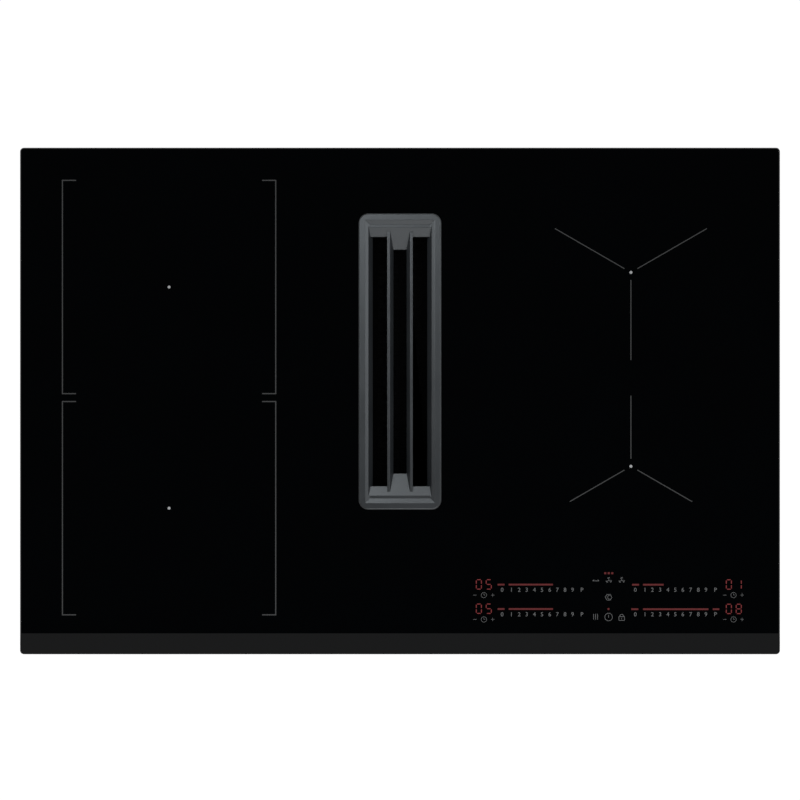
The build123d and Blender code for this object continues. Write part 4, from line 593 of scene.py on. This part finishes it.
# Light from the sky, by the height of its direction: (height, height, level, level).
OVERHEAD_LIGHT, HORIZON_LIGHT = (0.992, 0.975, 0.02, 0.27), (0.42, 0.10, 0.0, 0.75)
FRONT_LIGHT = dict(place=(0.25, -0.85, 0.60), target=(0.0, 0.0, 0.0), size=(0.9, 0.3), power=2.5)
GRILLE_LIGHTS = [
    dict(place=(-0.15, 0.30, 0.37), target=(0.0, 0.10, 0.0), size=(0.5, 0.30), power=3.05),
    dict(place=(0.80, 0.25, 0.62), target=(0.0, 0.05, 0.0), size=(0.5, 0.5), power=5.6),
    dict(place=(0.10, -0.75, 0.42), target=(0.0, 0.12, 0.0), size=(0.4, 0.3), power=3.2),
]


def set_camera():
    """Straight down from far away, so that the glass fills the frame as it does in the reference."""
    middle_y = (VIEW_MIDDLE[1] - VIEW_SIZE / 2) * PIXEL
    bpy.ops.object.camera_add(location=(0.0, middle_y, CAMERA_HEIGHT), rotation=(0, 0, 0))
    camera = bpy.context.object
    camera.data.sensor_width = SENSOR
    camera.data.lens = SENSOR * (CAMERA_HEIGHT - GLASS_TOP) / (VIEW_SIZE * PIXEL)
    camera.data.clip_end = CAMERA_REACH
    bpy.context.scene.camera = camera


def set_stage():
    """A pale floor that shows white and keeps a faint shadow."""
    clear_selection()
    bpy.ops.mesh.primitive_plane_add(size=FLOOR_SIZE, location=(0, 0, BASE - FLOOR_GAP))
    floor = bpy.context.object
    floor.name = "studio_floor"
    material = bpy.data.materials.new("pale_floor")
    material.use_nodes = True
    tree = Tree(material.node_tree)
    tree.nodes.clear()
    rays = ("Is Camera Ray", "Is Glossy Ray", "Is Transmission Ray")
    camera, glossy, through = (tree.node("ShaderNodeLightPath", output=ray) for ray in rays)
    seen = camera.math("MAXIMUM", glossy).math("MAXIMUM", through)
    plain = tree.node("ShaderNodeBsdfDiffuse", {"Color": (0.8, 0.8, 0.8, 1)})
    glow = tree.node("ShaderNodeEmission", {"Color": (1, 1, 1, 1), "Strength": FLOOR_GLOW})
    surface = tree.node("ShaderNodeMixShader", {0: seen * FLOOR_GLOW_SHARE, 1: plain, 2: glow})
    output = tree.nodes.new("ShaderNodeOutputMaterial")
    tree.put(output.inputs["Surface"], surface)
    floor.data.materials.append(material)


def set_world():
    """Even light from all round, with a dark patch overhead that black glass mirrors."""
    scene = bpy.context.scene
    scene.world = bpy.data.worlds.new("studio_world")
    scene.world.use_nodes = True
    tree = Tree(scene.world.node_tree)
    tree.nodes.clear()
    direction = tree.node("ShaderNodeTexCoord", output="Generated")
    height = tree.node("ShaderNodeSeparateXYZ", {0: direction}, output=2)
    sky = height.ramp(*OVERHEAD_LIGHT) + height.ramp(*HORIZON_LIGHT)
    camera = tree.node("ShaderNodeLightPath", output="Is Camera Ray")
    strength = sky.math("MAXIMUM", camera)
    background = tree.node("ShaderNodeBackground", {"Color": (1, 1, 1, 1), "Strength": strength})
    output = tree.nodes.new("ShaderNodeOutputWorld")
    tree.put(output.inputs["Surface"], background)


def add_softbox(place, target, size, power, colour):
    """A rectangular lamp that faces its target and that the camera doesn't see."""
    clear_selection()
    turn = (Vector(target) - Vector(place)).to_track_quat("-Z", "Y").to_euler()
    bpy.ops.object.light_add(type="AREA", location=place, rotation=turn)
    softbox = bpy.context.object
    softbox.visible_camera = False
    softbox.data.shape = "RECTANGLE"
    softbox.data.size, softbox.data.size_y = size
    softbox.data.energy = power
    softbox.data.color = colour
    return softbox


def set_lights(grille):
    """A dim front light for everything, and small lights that reach nothing but the grille."""
    add_softbox(**FRONT_LIGHT, colour=WARM_WHITE)
    receivers = bpy.data.collections.new("grille_only")
    receivers.objects.link(grille)
    for light in GRILLE_LIGHTS:
        softbox = add_softbox(**light, colour=COOL_WHITE)
        softbox.light_linking.receiver_collection = receivers
    bpy.context.scene.view_settings.view_transform = "Standard"


# ------------------------------------------------------------- printed controls
# Places and sizes here are pixels of the reference view, unless they carry MM.
SEGMENTS = {"0": "abcdef", "1": "bc", "5": "acdfg", "8": "abcdefg"}
DIGIT_WIDTH, DIGIT_HEIGHT, DIGIT_PITCH = 5.1, 9.4, 9.9
SEGMENT_WIDTH, SEGMENT_END = 0.85, 0.75
DISPLAYS = [("05", 476.3, 579.7), ("05", 476.3, 604.0), ("01", 726.3, 579.8), ("08", 726.3, 604.2)]
BARS = [
    (497.6, 504.5, 584.6), (508.7, 552.9, 584.6), (497.6, 504.5, 609.0), (508.7, 552.9, 609.0),
    (632.1, 639.0, 584.7), (643.0, 663.6, 584.7),
    (631.3, 638.3, 609.2), (643.0, 708.4, 609.2), (712.8, 719.3, 609.2),
]
BAR_WIDTH = 1.7
DASHES, DASH_ROW = (604.2, 607.7, 611.2), 573.2
DASH_LENGTH, DASH_WIDTH = 2.1, 2.0
POWER_LIGHT, POWER_LIGHT_SIZE = (608.5, 609.0), 1.8

LABELS = "0123456789P"
LEFT_LABELS = [502.1, 511.4, 519.2, 526.7, 534.4, 542.0, 549.7, 557.3, 565.0, 572.6, 581.9]
RIGHT_LABELS = [635.3, 645.0, 652.4, 660.1, 667.9, 675.3, 682.8, 690.6, 698.3, 705.9, 715.4]
LABEL_ROWS = (590.0, 614.5)
LABEL_HEIGHT = 4.1
CAPITAL_SHARE = 0.70

TIMER_ROWS = (595.1, 619.4)
TIMERS = ((474.9, 483.9, 492.7), (724.8, 733.5, 742.1))
CLOCK_RADIUS, HOUR_HAND, SIGN_REACH = 2.7, 1.2, 1.6
BRIDGE_KEY = (595.9, 580.9)
BRIDGE_REACH, BRIDGE_TIP, BRIDGE_RISE = 3.3, 1.7, 1.1
FAN_KEYS = ((608.8, 580.3), (621.7, 580.3))
BLADE_TURNS, BLADE_LENGTH = (90, 210, 330), 2.9
CURL_PLACE, CURL_RADIUS = 1.7, 1.2
AUTO_KEY = (608.6, 597.3)
AUTO_RADIUS, AUTO_ARC, AUTO_SHIFT = 3.3, 2.0, 1.0
PAUSE_KEY = (595.6, 616.7)
PAUSE_PITCH, PAUSE_REACH = 2.0, 2.8
POWER_KEY = (608.6, 617.0)
POWER_RADIUS, POWER_BAR_UP, POWER_BAR_DOWN = 3.8, 2.1, 0.6
LOCK_KEY = (621.7, 618.5)
LOCK_REACH, LOCK_RISE = 2.8, 1.9
SHACKLE_RISE, KEYHOLE_UP, KEYHOLE_DOWN = 2.3, 0.7, 0.8
ICON_LINE, KEY_LINE = 0.44, 0.34

ZONE_CENTRES = ((-0.237, 0.117), (-0.237, -0.110), (0.237, 0.132), (0.237, -0.067))
DOT_REACH = 2 * MM


def digit_lines(value, left, top):
    """The lit segments of one digit."""
    right, bottom = left + DIGIT_WIDTH, top + DIGIT_HEIGHT
    middle, cut = (top + bottom) / 2, SEGMENT_END
    ends = {
        "a": (left + cut, top, right - cut, top), "b": (right, top + cut, right, middle - cut),
        "c": (right, middle + cut, right, bottom - cut), "d": (left + cut, bottom, right - cut, bottom),
        "e": (left, middle + cut, left, bottom - cut), "f": (left, top + cut, left, middle - cut),
        "g": (left + cut, middle, right - cut, middle),
    }
    return [ends[letter] for letter in SEGMENTS[value]]


def ring_lines(px, py, radius, start=0.0, sweep=360.0, sides=16):
    """A ring or an arc as short bars."""
    angles = [math.radians(start + sweep * i / sides) for i in range(sides + 1)]
    spots = [(px + radius * math.cos(a), py - radius * math.sin(a)) for a in angles]
    return [(*a, *b) for a, b in zip(spots, spots[1:])]


def make_displays():
    """The red figures and level bars that shine through the glass."""
    digits = []
    for text, left, top in DISPLAYS:
        for i, value in enumerate(text):
            digits += digit_lines(value, left + i * DIGIT_PITCH, top)
    piece = strokes(pixel_lines(digits, SEGMENT_WIDTH), GLASS_TOP, PRINT, "display_figures")
    settle(piece, "display_figures", "hob", "display_lens", DIGIT_RED)
    dashes = [(px, DASH_ROW, px + DASH_LENGTH, DASH_ROW) for px in DASHES]
    px, py = POWER_LIGHT
    light = [(px - POWER_LIGHT_SIZE / 2, py, px + POWER_LIGHT_SIZE / 2, py)]
    lines = pixel_lines([(x0, y, x1, y) for x0, x1, y in BARS], BAR_WIDTH)
    lines += pixel_lines(dashes, DASH_WIDTH) + pixel_lines(light, POWER_LIGHT_SIZE)
    piece = strokes(lines, GLASS_TOP, PRINT, "level_bars")
    settle(piece, "level_bars", "hob", "display_lens", BAR_RED)


def label(text, px, py, height):
    """One printed character, centred on a pixel."""
    clear_selection()
    x, y = from_view(px, py)
    bpy.ops.object.text_add(location=(x, y, GLASS_TOP + PRINT / 2))
    piece = bpy.context.object
    piece.data.body = text
    piece.data.align_x, piece.data.align_y = "CENTER", "CENTER"
    piece.data.size = height * PIXEL / CAPITAL_SHARE
    piece.data.extrude = PRINT / 2
    piece.data.resolution_u = 3
    bpy.ops.object.convert(target="MESH")
    return bpy.context.object


def timer_signs(minus, clock, plus, row):
    """A minus, a clock face and a plus."""
    reach = SIGN_REACH
    signs = [(minus - reach, row, minus + reach, row), (plus - reach, row, plus + reach, row)]
    signs += [(plus, row - reach, plus, row + reach)] + ring_lines(clock, row, CLOCK_RADIUS)
    return signs + [(clock, row, clock, row - reach), (clock, row, clock + HOUR_HAND, row)]


def bridge_sign(px, py):
    """A flat line with its ends turned up."""
    ends = [(side * BRIDGE_REACH, side * BRIDGE_TIP) for side in (-1, 1)]
    signs = [(px - BRIDGE_REACH, py, px + BRIDGE_REACH, py)]
    return signs + [(px + end, py, px + tip, py - BRIDGE_RISE) for end, tip in ends]


def fan_sign(px, py):
    """Three curled blades."""
    signs = []
    for turn in BLADE_TURNS:
        across, up = math.cos(math.radians(turn)), math.sin(math.radians(turn))
        signs.append((px, py, px + BLADE_LENGTH * across, py - BLADE_LENGTH * up))
        curl = (px + CURL_PLACE * across, py - CURL_PLACE * up)
        signs += ring_lines(*curl, CURL_RADIUS, start=turn - 60, sweep=150, sides=4)
    return signs


def auto_sign(px, py):
    """A six-sided ring with an open arc in it."""
    ring = ring_lines(px, py, AUTO_RADIUS, sides=6)
    return ring + ring_lines(px + AUTO_SHIFT, py, AUTO_ARC, start=90, sweep=200, sides=6)


def pause_sign(px, py):
    """Three upright bars."""
    places = [px + i * PAUSE_PITCH for i in (-1, 0, 1)]
    return [(x, py - PAUSE_REACH, x, py + PAUSE_REACH) for x in places]


def power_sign(px, py):
    """A ring with a short bar in it."""
    bar = (px, py - POWER_BAR_UP, px, py + POWER_BAR_DOWN)
    return ring_lines(px, py, POWER_RADIUS, sides=20) + [bar]


def lock_sign(px, py):
    """A padlock: its box, its shackle and its keyhole."""
    left, right, upper, lower = px - LOCK_REACH, px + LOCK_REACH, py - LOCK_RISE, py + LOCK_RISE
    signs = [(left, y, right, y) for y in (upper, lower)] + [(x, upper, x, lower) for x in (left, right)]
    signs += ring_lines(px, py - SHACKLE_RISE, LOCK_RISE, sweep=180, sides=8)
    return signs + [(px, py - KEYHOLE_UP, px, py + KEYHOLE_DOWN)]


def make_control_print():
    """Slider numbers, timer keys and the function icons between the sliders."""
    numbers = []
    for row in LABEL_ROWS:
        for places in (LEFT_LABELS, RIGHT_LABELS):
            numbers += [label(text, px, row, LABEL_HEIGHT) for text, px in zip(LABELS, places)]
    keys = []
    for row in TIMER_ROWS:
        for places in TIMERS:
            keys += timer_signs(*places, row)
    icons = bridge_sign(*BRIDGE_KEY) + fan_sign(*FAN_KEYS[0]) + fan_sign(*FAN_KEYS[1])
    icons += auto_sign(*AUTO_KEY) + pause_sign(*PAUSE_KEY) + power_sign(*POWER_KEY) + lock_sign(*LOCK_KEY)
    lines = pixel_lines(keys, KEY_LINE) + pixel_lines(icons, ICON_LINE)
    marks = strokes(lines, GLASS_TOP, PRINT, "key_marks")
    settle(joined([marks] + numbers), "control_print", "hob", "white_print", LABEL_PRINT)


def make_zone_print():
    """The zone marks in two inks: grey lines, and whiter dots at the zone centres."""
    lines = merged_copy("zone_marks", "zone_lines")
    bpy.ops.mesh.select_all(action="DESELECT")
    bpy.ops.object.mode_set(mode="OBJECT")
    for vertex in lines.data.vertices:
        vertex.select = any(math.dist(vertex.co[:2], centre) < DOT_REACH for centre in ZONE_CENTRES)
    bpy.ops.object.mode_set(mode="EDIT")
    bpy.ops.mesh.separate(type="SELECTED")
    bpy.ops.object.mode_set(mode="OBJECT")
    dots = next(thing for thing in bpy.context.selected_objects if thing != lines)
    settle(dots, "zone_dots_finished", "hob", "white_print", DOT_PRINT, stands_for=("zone_marks",))
    settle(lines, "zone_lines_finished", "hob", "white_print", stands_for=("zone_marks",))


# --------------------------------------------------------------- outside details
# From here on, the values without MM are millimetres, and so is what box_mm gives.
SUNK = 0.2
RIB_OUT = 1.4
CASE_UNDER = box_mm("base_tray")[0][2]


def in_mm(*corners):
    """Corners in millimetres, turned into metres."""
    return [[value * MM for value in corner] for corner in corners]


def block_between(low, high):
    """A block between two corners in millimetres."""
    clear_selection()
    low, high = in_mm(low, high)
    middle = [(a + b) / 2 for a, b in zip(low, high)]
    size = [b - a for a, b in zip(low, high)]
    bpy.ops.mesh.primitive_cube_add(size=1.0, location=middle, scale=size)
    return bpy.context.object


def rows(start, stop, count):
    """Evenly spaced places from one to another."""
    return [start + (stop - start) * i / (count - 1) for i in range(count)]


def proud(wall, side, out):
    """From a little inside a wall to the outside of a bar that stands proud of it."""
    return sorted((wall - side * SUNK, wall + side * out))


def ribs_facing_x(wall, side, places, half, z0, z1):
    """Upright ribs on a wall that faces along X."""
    near, far = proud(wall, side, RIB_OUT)
    return [((near, y - half, z0), (far, y + half, z1)) for y in places]


def ribs_facing_y(wall, side, places, half, z0, z1):
    """Upright ribs on a wall that faces along Y."""
    near, far = proud(wall, side, RIB_OUT)
    return [((x - half, near, z0), (x + half, far, z1)) for x in places]


def raised_bars(blocks, name, slot, radius=0.5):
    """Rounded bars that stand proud of a wall, from the low and high corner of each."""
    whole = joined([block_between(low, high) for low, high in blocks])
    pick(whole)
    put_in_mesh()
    rounded(whole, radius * MM)
    return settle(whole, name, "hob", slot)


def make_grease_screen():
    """A woven screen that lies on the perforated floor of the grease filter."""
    low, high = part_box("grease_filter")
    margin, floor = 5.6 * MM, 1.7 * MM
    pitch, wire = 3.0 * MM, 0.55 * MM
    z = low.z + floor
    x0, x1, y0, y1 = low.x + margin, high.x - margin, low.y + margin, high.y - margin
    columns, lengths = int((x1 - x0) / pitch), int((y1 - y0) / pitch)
    across_places = [x0 + (i + 0.5) * pitch for i in range(columns)]
    along_places = [y0 + (i + 0.5) * pitch for i in range(lengths)]
    warp = strokes([(x, y0, x, y1, wire) for x in across_places], z, wire, "screen_warp")
    weft = strokes([(x0, y, x1, y, wire) for y in along_places], z + wire * 0.6, wire, "screen_weft")
    # The screen takes the filter's near-black finish, which is painted shade for the slots.
    settle(joined([warp, weft]), "grease_screen", "filter", "filter_mesh")


def bead_ring(x0, x1, z0, z1, y, corner, radius):
    """A half-round bead round a rounded rectangle that stands across the Y axis."""
    clear_selection()
    steps = 8
    corners = (
        (x1 - corner, z1 - corner, 0), (x0 + corner, z1 - corner, 90),
        (x0 + corner, z0 + corner, 180), (x1 - corner, z0 + corner, 270),
    )
    spots = []
    for cx, cz, start in corners:
        for step in range(steps + 1):
            angle = math.radians(start + step * 90 / steps)
            spots.append((cx + corner * math.cos(angle), y, cz + corner * math.sin(angle)))
    curve = bpy.data.curves.new("bead_path", "CURVE")
    curve.dimensions = "3D"
    line = curve.splines.new("POLY")
    line.points.add(len(spots) - 1)
    for point, spot in zip(line.points, spots):
        point.co = (*spot, 1.0)
    line.use_cyclic_u = True
    curve.bevel_depth = radius
    curve.bevel_resolution = 3
    piece = bpy.data.objects.new("bead", curve)
    bpy.context.scene.collection.objects.link(piece)
    pick(piece)
    bpy.ops.object.convert(target="MESH")
    bpy.ops.object.shade_smooth()
    return bpy.context.object


def make_spigot_beads():
    """Two raised beads round the sleeve of the spigot that hold the duct."""
    low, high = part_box("duct_spigot")
    flange, foot, corner, radius = 12 * MM, 1 * MM, 12 * MM, 0.9 * MM
    x0, x1, z0, z1 = low.x + flange, high.x - flange, low.z + foot, high.z - flange
    setbacks = (8 * MM, 15 * MM)
    beads = [bead_ring(x0, x1, z0, z1, high.y - setback, corner, radius) for setback in setbacks]
    return settle(joined(beads), "spigot_beads", "hob", "black_housing")


def make_intake_ribs():
    """Upright stiffening ribs on the walls of the intake box, and a bead round its foot."""
    (x0, y0, _), (x1, y1, _) = box_mm("tray_runner")
    under = box_mm("intake_box")[0][2]
    half, bead_out = 1.2, 1.0
    ends = (under + 7.0, CASE_UNDER - 6.0)
    columns = (-26.0, 0.0, 26.0)
    blocks = ribs_facing_x(x0, -1, rows(y0 + 28.0, y1 - 28.0, 7), half, *ends)
    blocks += ribs_facing_y(y0, -1, columns, half, *ends) + ribs_facing_y(y1, 1, columns, half, *ends)
    bead_low, bead_high = under + 3.0, under + 5.4
    left, front, rear = proud(x0, -1, bead_out), proud(y0, -1, bead_out), proud(y1, 1, bead_out)
    blocks.append(((left[0], front[0], bead_low), (left[1], rear[1], bead_high)))
    blocks += [((left[0], wall[0], bead_low), (x1, wall[1], bead_high)) for wall in (front, rear)]
    raised_bars(blocks, "intake_ribs", "black_housing")


def make_plenum_ribs():
    """Upright ribs on the three free walls of the air chamber under the hob."""
    (x0, y0, lid_under), (x1, y1, _) = box_mm("plenum_lid")
    lip, half = 8.0, 1.1
    ends = (box_mm("inlet_nozzle")[1][2] + 0.4, lid_under - 1.5)
    front, rear, right = y0 + lip, y1 - lip, x1 - lip
    columns = rows(x0 + 35.0, right - 25.0, 5)
    blocks = ribs_facing_y(front, -1, columns, half, *ends) + ribs_facing_y(rear, 1, columns, half, *ends)
    blocks += ribs_facing_x(right, 1, rows(front + 29.0, rear - 30.0, 6), half, *ends)
    raised_bars(blocks, "plenum_ribs", "black_housing")


# The fan housing's wall: three quarter rounds that widen by a step each, then a leaning straight.
FAN_X, FAN_Y = 182.0, -9.5
SCROLL_RADIUS, SCROLL_STEP = 112.0, 13.0
SCROLL_WALL, SCROLL_RIM = 2.5, 8.0
RIM_THICKNESS = 2.0
WALL_LEAN = -4.3
WEB_DEPTH, WEB_HEIGHT, WEB_THICKNESS, WEB_TOE = 6.4, 17.0, 2.2, 0.6
# Where the webs stand: shares of each quarter round, and places along the straight.
WEB_SHARES, WEB_PLACES = (0.06, 0.55), (48.0, 98.0, 148.0, 196.0)


def gusset(x, y, degrees, top):
    """A three-cornered web under a rim, which stands out from a wall at one place."""
    piece = block_between((0, -WEB_THICKNESS / 2, -WEB_HEIGHT), (WEB_DEPTH, WEB_THICKNESS / 2, 0))
    put_in_mesh()
    for vertex in piece.data.vertices:
        vertex.select = vertex.co.x > WEB_DEPTH * MM / 2 and vertex.co.z < -WEB_HEIGHT * MM / 2
    bpy.ops.object.mode_set(mode="EDIT")
    bpy.ops.transform.translate(value=((WEB_TOE - WEB_DEPTH) * MM, 0, 0))
    bpy.ops.object.mode_set(mode="OBJECT")
    piece.location = (x * MM, y * MM, top * MM)
    piece.rotation_euler.z = math.radians(degrees)
    put_in_mesh()
    return piece


def make_scroll_webs():
    """Webs between the wall of the fan housing and its rim."""
    _, (rim_x, end_y, rim_top) = box_mm("fan_scroll")
    top = rim_top - RIM_THICKNESS + 0.1
    wall = SCROLL_WALL - SUNK
    half = SCROLL_STEP / 2
    pieces = []
    for i, (side_x, side_y) in enumerate(((-1, -1), (1, -1), (1, 1))):
        centre_x, centre_y = FAN_X + side_x * half, FAN_Y + side_y * half
        radius = SCROLL_RADIUS + i * SCROLL_STEP
        for share in WEB_SHARES:
            turn = 90 * (i + 1 + share)
            across, up = math.cos(math.radians(turn)), math.sin(math.radians(turn))
            reach = radius + wall
            pieces.append(gusset(centre_x + reach * across, centre_y + reach * up, turn, top))
    start_x, start_y = centre_x + radius, centre_y
    end_x = rim_x - SCROLL_RIM - SCROLL_WALL
    for y in WEB_PLACES:
        x = start_x + (end_x - start_x) * (y - start_y) / (end_y - start_y)
        pieces.append(gusset(x + wall, y, WALL_LEAN, top))
    whole = joined(pieces)
    rounded(whole, 0.35 * MM)
    settle(whole, "scroll_webs", "hob", "black_housing")


def turned_head(x, y, z, radius, height, across):
    """A pan-head screw along Y with a cross recess."""
    clear_selection()
    bpy.ops.mesh.primitive_cylinder_add(
        vertices=28, radius=radius * MM, depth=height * MM,
        location=(x * MM, (y + height / 2) * MM, z * MM), rotation=(math.radians(90), 0, 0),
    )
    head = bpy.context.object
    put_in_mesh()
    for turn in (0.0, math.radians(90)):
        clear_selection()
        bpy.ops.mesh.primitive_cube_add(
            size=1.0, location=(x * MM, (y + height) * MM, z * MM), rotation=(0, turn, 0),
            scale=(across * MM, 1.2 * MM, 0.8 * MM),
        )
        cutter = bpy.context.object
        apply_modifier(head, "BOOLEAN", operation="DIFFERENCE", object=cutter)
        bpy.data.objects.remove(cutter)
    return head


def make_spigot_screws():
    """Pan-head screws that hold the flange of the duct spigot."""
    (x0, y0, _), (x1, _, z1) = box_mm("duct_spigot")
    face, inset, end_inset, side_drop = y0 + 2.9, 5.6, 7.0, 56.0
    places = [(x, z1 - inset) for x in rows(x0 + end_inset, x1 - end_inset, 5)]
    places += [(x, z1 - side_drop) for x in (x0 + inset, x1 - inset)]
    whole = joined([turned_head(x, face, z, radius=2.9, height=1.7, across=3.6) for x, z in places])
    rounded(whole, 0.2 * MM)
    settle(whole, "spigot_screws", "hob", "plated_steel")


def make_case_beads():
    """Pressed beads that stiffen the front and the sides of the sheet case."""
    (x0, y0, under), (x1, _, _) = box_mm("base_tray")
    out, length, half_depth = 0.9, 190.0, 100.0
    front_places = (-330.0, -95.0, 140.0)
    z0, z1 = under + 17.0, under + 23.0
    near, far = proud(y0, -1, out)
    blocks = [((x, near, z0), (x + length, far, z1)) for x in front_places]
    for wall, side in ((x0, -1), (x1, 1)):
        near, far = proud(wall, side, out)
        blocks.append(((near, -half_depth, z0), (far, half_depth, z1)))
    raised_bars(blocks, "case_beads", "galvanised_sheet", radius=0.52)


def make_gland_grip():
    """Grip ribs round the outside nut of the cable gland."""
    x, y, z, reach, count = -305.0, 241.1, -24.0, 11.7, 16
    size = (1.4 * MM, 3.2 * MM, 1.6 * MM)
    pieces = []
    for i in range(count):
        turn = math.tau * i / count
        spot = ((x + reach * math.cos(turn)) * MM, y * MM, (z + reach * math.sin(turn)) * MM)
        clear_selection()
        bpy.ops.mesh.primitive_cube_add(size=1.0, location=spot, rotation=(0, -turn, 0), scale=size)
        pieces.append(bpy.context.object)
    whole = joined(pieces)
    pick(whole)
    put_in_mesh()
    rounded(whole, 0.25 * MM)
    settle(whole, "gland_grip", "hob", "black_housing")


# ---------------------------------------------------------------------- making
set_camera()
set_stage()
set_world()

# How far the edges of each visible shell are rounded, in millimetres.
SOFT_EDGES = {
    "glass_top": 0.25, "worktop_seal": 0.4, "base_tray": 0.35, "retaining_clips": 0.2,
    "intake_box": 0.6, "tray_runner": 0.6, "plenum_base": 0.6, "plenum_lid": 0.6,
    "fan_scroll": 0.6, "duct_spigot": 0.5, "cable_gland": 0.6, "filter_cassette": 0.5,
    "grease_filter": 0.3, "grille": 0.55, "drip_tray": 0.6, "case_screws": 0.3,
}
STRIP_DEPTH = 21.5 * MM
GRILLE_LIMIT = math.radians(20.0)
CREASES = {"glass_top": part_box("glass_top")[0].y + STRIP_DEPTH}
for node, width in SOFT_EDGES.items():
    limit = GRILLE_LIMIT if node == "grille" else SMOOTH_ANGLE
    own_shape(node, width * MM, limit, CREASES.get(node))

set_lights(bpy.data.objects["grille_finished"])
make_displays()
make_control_print()
make_zone_print()
make_grease_screen()
make_spigot_beads()
make_intake_ribs()
make_plenum_ribs()
make_scroll_webs()
make_spigot_screws()
make_case_beads()
make_gland_grip()
